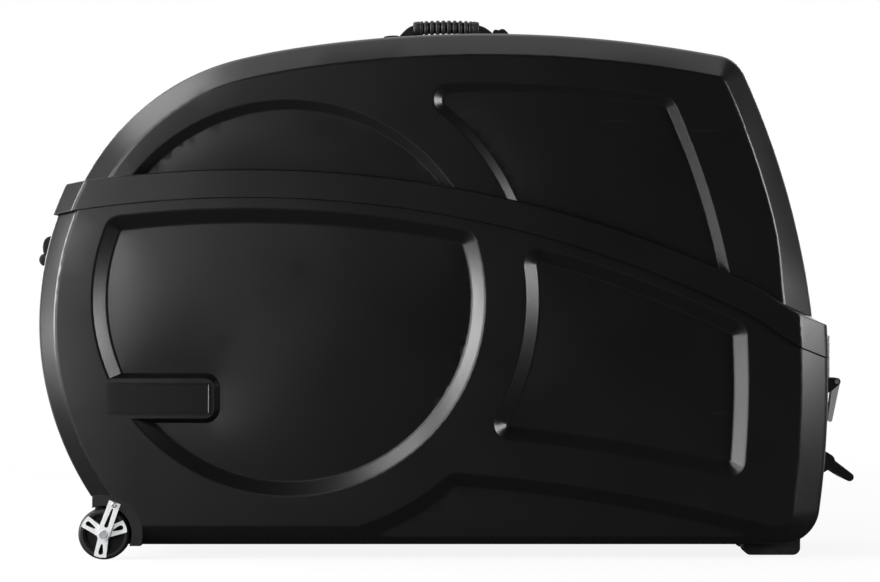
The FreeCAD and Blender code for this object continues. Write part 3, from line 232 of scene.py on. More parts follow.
def turned(name, profile, axis, centre):
    """A piece turned on a lathe: (run, radius) points spun about the axis through the centre."""
    along = Vector(axis)
    out = Vector((0, 0, 1))
    points = [Vector(centre) + along * run + out * radius for run, radius in profile]
    obj = mesh_piece(name, points, [])
    obj.data.edges.add(len(points) - 1)
    for index, edge in enumerate(obj.data.edges):
        edge.vertices = (index, index + 1)
    edit(obj)
    bpy.ops.mesh.spin(steps=48, angle=2 * math.pi, center=centre, axis=axis)
    bpy.ops.mesh.select_all(action="SELECT")
    bpy.ops.mesh.remove_doubles(threshold=JOIN_DISTANCE)
    bpy.ops.mesh.normals_make_consistent(inside=False)
    leave_edit()
    return obj


def ribbon(name, rows, thickness):
    """A flat strap through rows of (left, right) points, with its length and width in metres as UV."""
    points = [point for row in rows for point in row]
    faces = [(2 * i, 2 * i + 1, 2 * i + 3, 2 * i + 2) for i in range(len(rows) - 1)]
    obj = mesh_piece(name, points, faces)
    runs = [0.0]
    for before, after in zip(rows, rows[1:]):
        runs.append(runs[-1] + (after[0] + after[1] - before[0] - before[1]).length / 2)
    across = [(right - left).length / 2 for left, right in rows]
    uv = obj.data.uv_layers.new(name="weave")
    for loop in obj.data.loops:
        row, right = divmod(loop.vertex_index, 2)
        uv.data[loop.index].uv = (runs[row], across[row] if right else -across[row])
    face_outwards(obj)
    modify(obj, "SUBSURF", levels=2, render_levels=2)
    modify(obj, "SOLIDIFY", thickness=thickness, offset=0.0, use_even_offset=True)
    round_edges(obj, thickness * 0.3, 3)
    smooth(obj, STRAP_ANGLE)
    return obj


def paint(obj, finish):
    obj.data.materials.clear()
    obj.data.materials.append(finish)


# Finishes


class Value:
    """A shader value: an expression on it adds the Math nodes that work it out."""

    def __init__(self, finish, socket):
        self.finish, self.socket = finish, socket

    def math(self, operation, *values):
        return self.finish.node("ShaderNodeMath", dict(enumerate(values)), operation=operation)

    def __add__(self, other):
        return self.math("ADD", self, other)

    __radd__ = __add__

    def __sub__(self, other):
        return self.math("SUBTRACT", self, other)

    def __rsub__(self, other):
        return self.math("SUBTRACT", other, self)

    def __mul__(self, other):
        return self.math("MULTIPLY", self, other)

    __rmul__ = __mul__

    def __pow__(self, other):
        return self.math("POWER", self, other)

    def __abs__(self):
        return self.math("ABSOLUTE", self)

    def sine(self):
        return self.math("SINE", self)

    def between(self, low, high):
        """0 below low, 1 above high and smooth between them."""
        inputs = {0: self, 1: low, 2: high}
        return self.finish.node("ShaderNodeMapRange", inputs, interpolation_type="SMOOTHSTEP")


class Finish:
    """A node tree under construction, for a material or the world."""

    def __init__(self, owner):
        owner.use_nodes = True
        self.owner = owner
        self.tree = owner.node_tree
        self.tree.nodes.clear()

    def node(self, kind, inputs=None, output=0, **settings):
        """Adds a node: its settings first, then the values or links of its sockets."""
        made = self.tree.nodes.new(kind)
        for key, value in settings.items():
            setattr(made, key, value)
        for key, value in (inputs or {}).items():
            if isinstance(value, Value):
                self.tree.links.new(value.socket, made.inputs[key])
            else:
                made.inputs[key].default_value = value
        return Value(self, made.outputs[output]) if made.outputs else None

    def where(self, source="Object", scale=(1, 1, 1), shift=(0, 0, 0), turn=(0, 0, 0)):
        point = self.node("ShaderNodeTexCoord", output=source)
        inputs = {"Vector": point, "Location": shift, "Rotation": turn, "Scale": scale}
        return self.node("ShaderNodeMapping", inputs)

    def parts(self, vector):
        return [self.node("ShaderNodeSeparateXYZ", {0: vector}, axis) for axis in range(3)]

    def noise(self, size, detail=2.0, roughness=0.5, **place):
        """Noise with features of about this size in metres."""
        inputs = {"Vector": self.where(**place), "Scale": 1 / size, "Detail": detail, "Roughness": roughness}
        return self.node("ShaderNodeTexNoise", inputs)

    def cells(self, size):
        return self.node("ShaderNodeTexVoronoi", {"Vector": self.where(), "Scale": 1 / size})

    def mix(self, mask, first, second):
        return self.node("ShaderNodeMix", {0: mask, 6: first, 7: second}, 2, data_type="RGBA")

    def tones(self, mask, colour, first, second):
        """One colour at two gains, mixed by a mask."""
        return self.mix(mask, tone(colour, first), tone(colour, second))

    def bump(self, height, depth, strength, under=None):
        inputs = {"Height": height, "Distance": depth, "Strength": strength}
        if under:
            inputs["Normal"] = under
        return self.node("ShaderNodeBump", inputs)

    def shade(self, colour, rough, normal, **sockets):
        """Ends the material with its shader: underscores in the names stand for spaces."""
        named = {"Base Color": colour, "Roughness": rough, "Normal": normal}
        named |= {key.replace("_", " "): value for key, value in sockets.items()}
        shader = self.node("ShaderNodeBsdfPrincipled", named)
        self.node("ShaderNodeOutputMaterial", {"Surface": shader})
        return self.owner


def new_finish(name):
    return Finish(bpy.data.materials.new(name))


def tone(colour, gain):
    return (*[min(1.0, c * gain) for c in colour], 1.0)


def grained_shell(f, look):
    """Formed black sheet: hair-cell grain, a wavy skin, faint rubs and hairline scratches."""
    grain = f.noise(0.0009, 3.0) * 0.6 + f.cells(0.0015) * 0.4
    skin = f.noise(0.14, 1.5)
    rubbed = f.noise(0.06, 6.0, 0.62, shift=(3.1, 1.7, 0.4)).between(0.52, 0.78)
    scratch = f.noise(0.012, 2.0, scale=(0.05, 1.0, 1.0), turn=(0.0, 0.42, 0.0)).between(0.73, 0.76)
    colour = f.tones(rubbed * 0.6, look.shell_colour, 0.9, 1.35)
    rough = look.shell_roughness + 0.06 * (skin - 0.5) - 0.03 * rubbed + 0.04 * scratch
    wave = f.bump(skin, 0.0009, 0.5)
    return f.shade(colour, rough, f.bump(grain, 0.00012, 0.22, wave))


def moulded_trim(f, look):
    """Moulded black plastic with a fine eroded texture and shinier handled spots."""
    spark = f.noise(0.00045, 2.0)
    handled = f.noise(0.018, 4.0, 0.6).between(0.5, 0.75)
    colour = f.tones(handled, look.trim_colour, 0.85, 1.3)
    rough = 0.46 - 0.12 * handled + 0.08 * (spark - 0.5)
    return f.shade(colour, rough, f.bump(spark, 0.00008, 0.3), Specular_IOR_Level=0.36)


def soft_rubber(f, look):
    """Satin black rubber with a dusty bloom and a fine pebbled skin."""
    pebble = f.cells(0.0008)
    bloom = f.noise(0.012, 5.0, 0.6).between(0.42, 0.75)
    colour = f.tones(bloom, look.rubber_colour, 0.8, 1.5)
    rough = 0.42 + 0.16 * bloom
    return f.shade(colour, rough, f.bump(pebble, 0.0001, 0.35))


def painted_shade_black(f, look):
    """Painted shade: a darker, matt copy of black rubber with faint mould specks, for the grooves,
    boots and keepers, the nose grip and the wheel's web.
    """
    specks = f.noise(0.0011, 3.0, 0.6)
    worn = f.noise(0.009, 4.0, 0.6).between(0.5, 0.8)
    colour = f.tones(worn * 0.6 + specks * 0.3, look.painted_shade_colour, 0.7, 1.6)
    rough = 0.6 + 0.12 * specks
    return f.shade(colour, rough, f.bump(specks, 0.00012, 0.35), Specular_IOR_Level=0.22)


def rolled_tyre(f, look):
    """Solid tyre: fine mould rings on its sides, and a scuffed, greyer rolling face."""
    hub = middle("wheel_core_near")
    x, _, z = f.parts(f.where(shift=(-hub.x, 0, -hub.z)))
    radius = (x * x + z * z) ** 0.5
    rings = (radius * (2 * math.pi / 0.0013)).sine() * 0.5 + 0.5
    rolled = radius.between(look.tyre_scuff, look.tyre_scuff + 0.0012)
    scuff = f.noise(0.003, 5.0, 0.65).between(0.35, 0.7) * rolled
    colour = f.tones(scuff * 0.8 + rolled * 0.2, look.tyre_colour, 1.0, 3.4)
    rough = 0.46 + 0.2 * rolled + 0.06 * rings
    height = rings * (1 - rolled) * 0.5 + f.noise(0.0006, 2.0) * 0.5
    return f.shade(colour, rough, f.bump(height, 0.00012, 0.4), Specular_IOR_Level=0.36)


def silver_paint(f, look):
    """Silver lacquer over plastic: fine flake and small chips of duller paint."""
    flake = f.cells(0.0005)
    dull = f.noise(0.008, 5.0, 0.6).between(0.55, 0.8)
    colour = f.tones(dull * 0.7 + flake * 0.25, look.silver_colour, 1.0, 0.78)
    rough = 0.34 + 0.16 * dull + 0.06 * flake
    return f.shade(colour, rough, f.bump(flake, 0.00004, 0.2), Metallic=0.35, Coat_Weight=0.3)


def satin_plating(f, look):
    """Satin nickel plating: finger smears, hair scratches and a faint orange peel."""
    smear = f.noise(0.02, 4.0, 0.6).between(0.45, 0.8)
    hair = f.noise(0.0008, 1.0, scale=(1, 1, 0.03)).between(0.68, 0.8)
    colour = f.tones(smear, look.chrome_colour, 1.0, 0.9)
    rough = 0.24 + 0.1 * smear + 0.1 * hair
    peel = f.bump(f.noise(0.002), 0.00003, 0.2)
    return f.shade(colour, rough, peel, Metallic=0.55)


def zinc_steel(f, look):
    """Zinc-coated steel: mottled grey with a finely pitted skin."""
    mottle = f.cells(0.0025)
    pits = f.noise(0.0005, 3.0)
    colour = f.tones(mottle, look.steel_colour, 0.82, 1.15)
    rough = 0.3 + 0.14 * mottle + 0.06 * pits
    return f.shade(colour, rough, f.bump(pits, 0.00004, 0.3), Metallic=1.0)


def drawn_aluminium(f, look):
    """Extruded aluminium with die lines along its length and grey oxide spots."""
    lines = f.noise(0.0009, 2.0, scale=(0.015, 1, 1))
    oxide = f.noise(0.01, 5.0, 0.6).between(0.55, 0.8)
    colour = f.tones(oxide * 0.6, look.aluminium_colour, 1.0, 0.72)
    rough = 0.28 + 0.14 * lines + 0.14 * oxide
    return f.shade(colour, rough, f.bump(lines, 0.00006, 0.35), Metallic=1.0)


def woven_webbing(f, look):
    """Nylon webbing: a plain weave, fuzzy yarns and a stitched row along each edge."""
    run, across, _ = f.parts(f.where("UV"))
    pitch = math.pi / look.weave_pitch
    weave = (run * pitch).sine() * (across * pitch).sine()
    yarn = abs(weave) ** 0.6
    fuzz = f.noise(0.0004, 3.0)
    stitch_line = 1 - abs(abs(across) - look.stitch_inset).between(0.0003, 0.0008)
    stitch = stitch_line * ((run * (math.pi / 0.0016)).sine() * 0.5 + 0.5).between(0.25, 0.45)
    woven = f.tones(yarn, look.webbing_colour, 0.55, 1.5)
    colour = f.mix(stitch * 0.8, woven, tone(look.webbing_colour, 3.2))
    rough = 0.78 - 0.12 * yarn
    height = yarn * 0.7 + fuzz * 0.2 + stitch * 0.5
    return f.shade(colour, rough, f.bump(height, 0.0003, 0.6), Sheen_Weight=0.25, Sheen_Roughness=0.5)


def plate_gloss(f, look):
    """Gloss black badge plate with polishing swirls and specks of dust."""
    swirl = f.noise(0.004, 2.0, scale=(0.2, 1, 1.0), turn=(0, 0.5, 0))
    dust = f.noise(0.0012, 2.0).between(0.7, 0.8)
    colour = f.tones(dust * 0.5, look.plate_colour, 1.0, 3.0)
    rough = 0.22 + 0.04 * swirl + 0.2 * dust
    return f.shade(colour, rough, f.bump(swirl, 0.00002, 0.08))


def foam_cover(f, look):
    """Charcoal knitted cover over the cradle's foam."""
    x, y, z = f.parts(f.where())
    knit = (y * (math.pi / 0.0012)).sine() * ((x + z) * (math.pi / 0.0016)).sine()
    loop = abs(knit) ** 0.7
    fuzz = f.noise(0.0009, 4.0, 0.6)
    worn = f.noise(0.015, 4.0, 0.6).between(0.45, 0.75)
    base = f.tones(loop * 0.6 + fuzz * 0.3, look.pad_colour, 0.6, 1.5)
    colour = f.mix(worn * 0.35, base, tone(look.pad_colour, 2.2))
    rough = 0.9 - 0.1 * loop
    normal = f.bump(loop * 0.7 + fuzz * 0.3, 0.00035, 0.6)
    return f.shade(colour, rough, normal, Sheen_Weight=0.3, Sheen_Roughness=0.6)


FINISHES = {
    "shell_abs": grained_shell,
    "badge_plate": plate_gloss,
    "tyre": rolled_tyre,
    "wheel_silver": silver_paint,
    "trim_plastic": moulded_trim,
    "rubber": soft_rubber,
    # A darker black that paints shade on grooves, boots, keepers, the nose grip and the wheel's web
    "painted_shade_black": painted_shade_black,
    "webbing": woven_webbing,
    "chrome": satin_plating,
    "steel": zinc_steel,
    "aluminium": drawn_aluminium,
    "cover": foam_cover,
}
mixed = {}


def finish_for(slot):
    """The material of one slot, made when it is first asked for."""
    if slot not in mixed:
        make = FINISHES[slot]
        mixed[slot] = make(new_finish(make.__name__), bpy.context.scene.travel_case.look)
    return mixed[slot]


def fit(obj, node, finish=None):
    """Paints a piece, as its slot says or otherwise, hangs it on its node's body and replaces the node."""
    paint(obj, finish_for(finish or SLOT_OF[node]))
    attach(obj, BODY_OF[node])
    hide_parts(node)


def soften_nodes(width, *nodes, finish=None):
    """Replaces CAD nodes by copies with their sharp edges rounded off."""
    for node in nodes:
        obj = copied(node, f"soft_{node}")
        edit(obj)
        bpy.ops.mesh.dissolve_limited(angle_limit=FLAT_ANGLE)
        leave_edit()
        round_edges(obj, width)
        smooth(obj)
        fit(obj, node, finish)


def keep_nodes(*nodes):
    """Gives CAD nodes that keep their own shape the finish of their slot."""
    for node in nodes:
        obj, finish = NODES[node], finish_for(SLOT_OF[node])
        if not obj.material_slots:
            obj.data.materials.append(finish)
        for slot in obj.material_slots:
            slot.material = finish


# Settings


def colour_setting(name, description, default):
    look = {"subtype": "COLOR", "min": 0, "max": 1}
    return FloatVectorProperty(name=name, description=description, default=default, **look)


def length_setting(name, description, default):
    return FloatProperty(name=name, description=description, default=default, unit="LENGTH", precision=5)


class CaseLook(bpy.types.PropertyGroup):
    """Colours and surface values of the finishes."""

    shell_colour: colour_setting("Shell", "Colour of the formed sheet", (0.0028, 0.0028, 0.0029))
    shell_roughness: FloatProperty(
        name="Shell roughness", description="Sheen of the sheet", default=0.31, subtype="FACTOR", min=0, max=1
    )
    trim_colour: colour_setting("Trim", "Colour of the moulded fittings", (0.003, 0.003, 0.0031))
    rubber_colour: colour_setting("Rubber", "Colour of the grips and feet", (0.012, 0.012, 0.012))
    # Painted shade: the darker black of the grooves, boots, keepers, nose grip and wheel's web
    painted_shade_colour: colour_setting("Deep black", "Colour of grooves and boots", (0.0015, 0.0015, 0.0015))
    tyre_colour: colour_setting("Tyre", "Colour of the wheel's tyre", (0.006, 0.006, 0.006))
    tyre_scuff: length_setting("Tyre scuff", "Radius from which the tyre is scuffed", 0.0392)
    silver_colour: colour_setting("Silver", "Colour of the wheel's paint", (0.78, 0.79, 0.8))
    chrome_colour: colour_setting("Chrome", "Colour of the latch plating", (0.82, 0.82, 0.83))
    steel_colour: colour_setting("Steel", "Colour of pins and screws", (0.5, 0.5, 0.51))
    aluminium_colour: colour_setting("Aluminium", "Colour of the rail and lever", (0.7, 0.71, 0.72))
    webbing_colour: colour_setting("Webbing", "Colour of the handle straps", (0.004, 0.004, 0.0042))
    weave_pitch: length_setting("Weave pitch", "Spacing of the webbing's yarns", 0.0011)
    stitch_inset: length_setting("Stitch row", "Distance of the stitching from the strap's middle", 0.006)
    plate_colour: colour_setting("Plate", "Colour of the bare badge plate", (0.004, 0.004, 0.0042))
    pad_colour: colour_setting("Pad", "Colour of the cradle's cover", (0.035, 0.036, 0.04))


class CaseSizes(bpy.types.PropertyGroup):
    """Sizes of what is modelled over the frame."""

    panel_depth: length_setting("Panel depth", "Distance of the panel floors from the middle", 0.164)
    wall: length_setting("Wall", "Thickness of the formed sheet", 0.003)
    panel_tilt: FloatProperty(
        name="Panel tilt", description="Tilt of a panel floor at its border", default=0.085, unit="ROTATION"
    )
    panel_step: length_setting("Panel step", "Spacing of the cuts in the panel floors", 0.02)
    bevel: length_setting("Bevel", "Depth of the bevel around the sides", 0.03)
    tail_bevel_shift: length_setting("Tail bevel", "How far the tail's bevel reaches further in", 0.017)
    rib_count: IntProperty(name="Ribs", description="Ribs along a grip", default=8, min=3, max=20)
    rib_depth: length_setting("Rib depth", "Depth of the grooves between ribs", 0.0026)
    collar: length_setting("Collar", "Length of a grip's smooth ends", 0.0175)
    grip_droop: length_setting("Grip droop", "How far a grip's ends hang below its middle", 0.0026)
    keeper_margin: length_setting("Keeper margin", "How far a keeper reaches past its strap", 0.003)
    keeper_height: length_setting("Keeper height", "Height of the tail keeper's highest fold", 0.0085)
    grip_belly: length_setting("Grip belly", "How far the top grip hangs below a round", 0.0045)
    boot_root: length_setting("Boot root", "Half height of a boot at its bracket", 0.004)
    boot_rise: length_setting("Boot rise", "How far a boot's underside rises", 0.003)
    strap_thickness: length_setting("Strap thickness", "Thickness of the nose handle's webbing", 0.003)
    strap_width: length_setting("Strap width", "Width of the webbing", 0.018)
    plate_corner: length_setting("Plate corner", "Radius of the badge plate's corners", 0.004)
    plate_border: length_setting("Plate border", "Width of the badge plate's raised border", 0.0032)
    plate_recess: length_setting("Plate recess", "Depth of the badge plate's field", 0.0007)
    cheek_run: length_setting("Cheek run", "Distance of a tow cheek's root from the pin", 0.0135)
    cheek_root: length_setting("Cheek root", "Half height of a tow cheek at the tail", 0.0195)
    cheek_tip: length_setting("Cheek tip", "Radius of a tow cheek around the pin", 0.0125)
    cheek_thickness: length_setting("Cheek thickness", "Height of a tow cheek over the pin's head", 0.0018)
    cheek_lap: length_setting("Cheek lap", "How far a tow cheek laps over the pin's head", 0.0012)
    pad_edge: length_setting("Pad edge", "Rounding of the cradle pad's edges", 0.004)


class CaseStage(bpy.types.PropertyGroup):
    """Camera, lights and floor."""

    camera_place: FloatVectorProperty(
        name="Camera", description="Where it stands", default=(-0.0087, -4.5, 0.427), subtype="TRANSLATION"
    )
    lens: FloatProperty(name="Lens", description="Focal length", default=111.4, unit="CAMERA")
    floor_radius: length_setting("Floor radius", "How far the floor reaches", 9.0)
    room_level: FloatProperty(name="Room", description="Brightness of the dim room", default=0.02, min=0)


class TravelCase(bpy.types.PropertyGroup):
    """All settings of the travel case."""

    look: PointerProperty(type=CaseLook)
    sizes: PointerProperty(type=CaseSizes)
    stage: PointerProperty(type=CaseStage)


# Pieces


def panel_floors(skin, depth, facing):
    """The flat floors of the sunk panels at this depth, each as a list of joined faces."""
    loose = set()
    for face in skin.faces:
        y = face.calc_center_median().y
        if abs(abs(y) - depth) < PANEL_TOLERANCE and face.normal.y * math.copysign(facing, y) > 0.999:
            loose.add(face)
    floors = []
    while loose:
        floor, waiting = [], [loose.pop()]
        while waiting:
            face = waiting.pop()
            floor.append(face)
            beside = {other for edge in face.edges for other in edge.link_faces} & loose
            loose -= beside
            waiting += beside
        floors.append(floor)
    return floors


def bow_heights(points, starts, stops, tilt):
    """Heights of a bowed panel, which rises from its border at this tilt and is highest in its middle."""
    pull = np.zeros(len(points))
    for start, stop in zip(starts, stops):
        length = np.linalg.norm(stop - start)
        along = (stop - start) / length
        run = (points - start) @ along
        away = np.linalg.norm(points - start - np.outer(run, along), axis=1)
        away = np.maximum(away, JOIN_DISTANCE)
        pull += (np.arctan((length - run) / away) + np.arctan(run / away)) / away
    return math.tan(tilt) * math.pi / pull


def join_to_rim(skin, corners, faces, reach):
    """Joins the inner corners of a cut panel that lie close to its border to it, against sliver faces."""
    rim = [corner for corner in corners if not faces.issuperset(corner.link_faces)]
    tree = KDTree(len(rim))
    for index, corner in enumerate(rim):
        tree.insert(corner.co, index)
    tree.balance()
    targets = {}
    for corner in set(corners) - set(rim):
        _, index, distance = tree.find(corner.co)
        if distance < reach:
            targets[corner] = rim[index]
    bmesh.ops.weld_verts(skin, targetmap=targets)


def bow_panels(obj, depth, facing, sizes):
    """Bows the flat panels outwards between their borders, as a formed sheet does when it cools."""
    skin = bmesh.new()
    skin.from_mesh(obj.data)
    for floor in panel_floors(skin, depth, facing):
        face = bmesh.ops.dissolve_faces(skin, faces=floor)["region"][0]
        side = math.copysign(1, face.calc_center_median().y)
        border = np.array([corner.co.xz for corner in face.verts])
        geometry = [face, *face.edges, *face.verts]
        for axis, across in ((0, Vector((1, 0, 0))), (1, Vector((0, 0, 1)))):
            low, high = border[:, axis].min(), border[:, axis].max()
            cuts = math.ceil((high - low) / sizes.panel_step)
            for cut in range(1, cuts):
                place = across * (low + (high - low) * cut / cuts)
                geometry = bmesh.ops.bisect_plane(
                    skin, geom=geometry, dist=JOIN_DISTANCE, plane_co=place, plane_no=across
                )["geom"]
        faces = {item for item in geometry if isinstance(item, bmesh.types.BMFace)}
        corners = [item for item in geometry if isinstance(item, bmesh.types.BMVert)]
        join_to_rim(skin, corners, faces, sizes.panel_step * RIM_SHARE)
        corners = [corner for corner in corners if corner.is_valid]
        points = np.array([corner.co.xz for corner in corners])
        heights = bow_heights(points, border, np.roll(border, -1, axis=0), sizes.panel_tilt)
        for corner, height in zip(corners, heights):
            corner.co.y += side * height
        bmesh.ops.triangulate(skin, faces=[face for face in faces if face.is_valid and len(face.verts) > 4])
    skin.to_mesh(obj.data)
    skin.free()


def ramp(value, low, high):
    """0 below low, 1 above high and smooth between them."""
    share = min(1.0, max(0.0, (value - low) / (high - low)))
    return share * share * (3 - 2 * share)


def widen_tail_bevel(obj, sizes):
    """Draws the inner border of the bevel in along the side's face, at the tail below the lid's crown."""
    face = max(vertex.co.y for vertex in obj.data.vertices)
    for vertex in obj.data.vertices:
        x, y, z = vertex.co
        out = min(1.0, max(0.0, 1 - (face - abs(y)) / sizes.bevel))
        height = ramp(z, *TAIL_BEVEL_LOW) * (1 - ramp(z, *TAIL_BEVEL_TOP))
        vertex.co.x -= sizes.tail_bevel_shift * out * ramp(x, *TAIL_BEVEL_RUN) * height


class CASE_OT_shells(bpy.types.Operator):
    """Makes the tub and the lid with their bowed panels and wide tail bevel"""

    bl_idname = "case.shells"
    bl_label = "Shells"

    def execute(self, context):
        sizes = context.scene.travel_case.sizes
        for node, name in (("base_shell", "tub_skin"), ("lid_shell", "lid_skin")):
            obj = copied(node, name)
            bow_panels(obj, sizes.panel_depth, 1, sizes)
            bow_panels(obj, sizes.panel_depth - sizes.wall, -1, sizes)
            widen_tail_bevel(obj, sizes)
            smooth(obj, SHELL_SHARP_ANGLE)
            fit(obj, node)
        return {"FINISHED"}


class CASE_OT_badge_plates(bpy.types.Operator):
    """Makes the bare badge plates with their raised borders"""

    bl_idname = "case.badge_plates"
    bl_label = "Badge Plates"

    def execute(self, context):
        sizes = context.scene.travel_case.sizes
        low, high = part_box("badge_plate_near")
        bpy.ops.object.select_all(action="DESELECT")
        bpy.ops.mesh.primitive_cube_add(size=1, location=(low + high) / 2, scale=high - low)
        plate = context.object
        plate.name = "plate_near"
        bpy.ops.object.transform_apply()
        edit(plate, "DESELECT")
        bpy.ops.mesh.select_mode(type="EDGE")
        leave_edit()
        for edge in plate.data.edges:
            a, b = (plate.data.vertices[i].co for i in edge.vertices)
            edge.select = abs(a.y - b.y) > (high.y - low.y) / 2
        bpy.ops.object.mode_set(mode="EDIT")
        bpy.ops.mesh.bevel(offset=sizes.plate_corner, segments=6)
        bpy.ops.mesh.select_mode(type="FACE")
        bpy.ops.mesh.select_all(action="DESELECT")
        leave_edit()
        for face in plate.data.polygons:
            face.select = face.normal.y < -0.9
        bpy.ops.object.mode_set(mode="EDIT")
        bpy.ops.mesh.inset(thickness=sizes.plate_border)
        bpy.ops.mesh.inset(thickness=sizes.plate_recess)
        bpy.ops.transform.translate(value=(0, sizes.plate_recess, 0))
        leave_edit()
        round_edges(plate, PLATE_EDGE)
        smooth(plate)
        for obj, side in both_sides(plate, "plate"):
            fit(obj, f"badge_plate_{side}")
        return {"FINISHED"}


class CASE_OT_wheels(bpy.types.Operator):
    """Makes the wheels, their struts and their housings"""

    bl_idname = "case.wheels"
    bl_label = "Wheels"

    def execute(self, context):
        # The wheel's web is painted a darker black than the trim: painted shade between the spokes
        soften_nodes(SHEET_EDGE, *paired("wheel_core"), finish="painted_shade_black")
        soften_nodes(CAST_EDGE, *paired("wheel_spider", "axle_strut"))
        soften_nodes(MOULDED_EDGE, *paired("wheel_housing"))
        keep_nodes(*paired("tyre", "wheel_bush", "wheel_axle"))
        return {"FINISHED"}


class CASE_OT_feet(bpy.types.Operator):
    """Makes the rubber feet"""

    bl_idname = "case.feet"
    bl_label = "Feet"

    def execute(self, context):
        soften_nodes(FOOT_EDGE, *paired("foot"))
        return {"FINISHED"}


def grip_profile(length, radius, sizes):
    """(run, radius) points of a grip: smooth collars at its ends and ribs between deep grooves."""
    half, groove, collar = length / 2, radius - sizes.rib_depth, sizes.collar
    end = [(0.0, 0.0), (0.0, 0.55), (0.0004, 0.78), (0.0014, 0.92), (0.003, 0.98), (0.006, 1.0)]
    end += [(collar * run, share) for run, share in ((0.62, 1.0), (0.65, 0.93), (0.7, 0.93), (0.73, 1.0))]
    end += [(collar - 0.0012, 0.99), (collar - 0.0003, 0.93)]
    left = [(run - half, radius * share) for run, share in end] + [(collar - half, groove)]
    pitch = (length - 2 * collar) / sizes.rib_count
    rise = [(0.15, 0.0), (0.18, 0.5), (0.25, 0.88), (0.36, 0.98)]
    shape = [*rise, (0.5, 1.0), *[(1 - share, height) for share, height in reversed(rise)]]
    ribs = [
        (collar - half + (rib + share) * pitch, groove + height * sizes.rib_depth)
        for rib in range(sizes.rib_count)
        for share, height in shape
    ]
    return left + ribs + [(-run, r) for run, r in reversed(left)]


def make_grip(node, name, axis, droop_axis, finish, belly):
    """A ribbed rubber grip that arches slightly between its ends and hangs by its belly below a round."""
    sizes = bpy.context.scene.travel_case.sizes
    low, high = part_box(node)
    centre, along = middle(node), Vector(axis)
    length = (high - low).dot(along)
    radius = (high.z - low.z) / 2
    obj = turned(name, grip_profile(length, radius, sizes), axis, centre)
    ribbed, deep = length / 2 - sizes.collar, radius - 0.6 * sizes.rib_depth
    grooves = set()
    for face in obj.data.polygons:
        away = face.center - centre
        run = away.dot(along)
        if (away - along * run).length < deep and abs(run) < ribbed:
            grooves.add(face.index)
    for vertex in obj.data.vertices:
        share = (vertex.co - centre).dot(along) / (length / 2)
        vertex.co.z -= belly * max(0.0, centre.z - vertex.co.z) / radius
        vertex.co += Vector(droop_axis) * sizes.grip_droop * share * share
    smooth(obj, ROUND_ANGLE)
    fit(obj, node, finish)
    # The grooves get the darker black: painted shade in the recesses between the ribs
    obj.data.materials.append(finish_for("painted_shade_black"))
    for face in obj.data.polygons:
        face.material_index = int(face.index in grooves)


# Outlines of the rubber caps: shares of a top bracket's length and height, and metres at a nose bracket
KEEPER_WAVES = {
    "nose": ((0.0, 0.2), (0.1, 0.32), (0.35, 0.36), (0.7, 0.3), (0.93, 0.16), (1.0, 0.0)),
    "tail": (
        (0.0, 0.45), (0.06, 0.7), (0.16, 0.86), (0.27, 0.8), (0.36, 0.72), (0.46, 0.86),
        (0.58, 1.0), (0.72, 0.9), (0.84, 0.6), (0.94, 0.25), (1.0, 0.0),
    ),
}
NOSE_KEEPER = (
    (0.0003, 0.0315), (-0.006, 0.0318), (-0.0115, 0.03), (-0.0155, 0.0265), (-0.018, 0.021),
    (-0.019, 0.014), (-0.0186, 0.007), (-0.0165, 0.001), (-0.013, -0.002), (-0.0054, -0.0025),
)


def moulded(name, outline, sides, rounding):
    """A moulded block: an outline in x and z drawn out from side to side, with its edges rounded."""
    return lofted(name, [[(x, y, z) for x, z in outline] for y in sides], rounding)


def hang_cap(obj, body, finish):
    """Paints a cap that no CAD node stands for and hangs it on a body."""
    paint(obj, finish_for(finish))
    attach(obj, body)


def make_keeper(end, sign, sizes):
    """The rubber keeper over a top bracket and its screws, with the folds of the strap's end under it."""
    low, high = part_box(f"crown_bracket_{end}")
    half = sizes.strap_width / 2 + sizes.keeper_margin
    start, run = (low.x, high.x - low.x) if sign > 0 else (high.x, low.x - high.x)
    floor = high.z - sizes.keeper_margin
    profile = [(start, floor)]
    for share, height in KEEPER_WAVES[end]:
        profile.append((start + run * share, high.z + height * sizes.keeper_height))
    profile.append((start + run, floor))
    keeper = moulded(f"crown_keeper_{end}", profile, (-half, half), THICK_EDGE)
    # The keeper is painted the darker black: painted shade
    hang_cap(keeper, "lid", "painted_shade_black")


def make_boot(name, start, stop, sizes):
    """The rubber boot over a top strap: low at its bracket, as tall as the grip at its end."""
    half = sizes.strap_width / 2
    rings = []
    for share in np.linspace(0, 1, BOOT_RINGS):
        x = start.x + (stop.x - start.x) * share
        top = start.z + sizes.boot_root + (stop.z - start.z) * math.sin(share * math.pi / 2)
        floor = start.z - sizes.boot_root + sizes.boot_rise * share
        rings.append([(x, -half, floor), (x, half, floor), (x, half, top), (x, -half, top)])
    return lofted(name, rings, BOOT_EDGE)


class CASE_OT_crown_handle(bpy.types.Operator):
    """Makes the top handle: ribbed grip, bending boots, keepers and brackets"""

    bl_idname = "case.crown_handle"
    bl_label = "Crown Handle"

    def execute(self, context):
        sizes = context.scene.travel_case.sizes
        make_grip("crown_grip", "crown_grip_ribbed", (1, 0, 0), (0, 0, -1), "rubber", sizes.grip_belly)
        grip_low, grip_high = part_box("crown_grip")
        grip_z = (grip_low.z + grip_high.z) / 2 - sizes.grip_droop
        for end, sign in (("nose", -1), ("tail", 1)):
            node = f"crown_strap_{end}"
            low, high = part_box(node)
            bracket_x = low.x if sign < 0 else high.x
            grip_x = grip_low.x if sign < 0 else grip_high.x
            start = Vector((bracket_x + sign * SEAM_TUCK, 0, low.z + sizes.strap_thickness / 2))
            stop = Vector((grip_x - sign * SEAM_TUCK, 0, grip_z))
            boot = make_boot(f"crown_boot_{end}", start, stop, sizes)
            # The boots are painted the darker black: painted shade
            paint(boot, finish_for("painted_shade_black"))
            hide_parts(node)
            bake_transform(boot)
            make_keeper(end, sign, sizes)
        soften_nodes(BRACKET_EDGE, "crown_bracket_nose", "crown_bracket_tail")
        return {"FINISHED"}


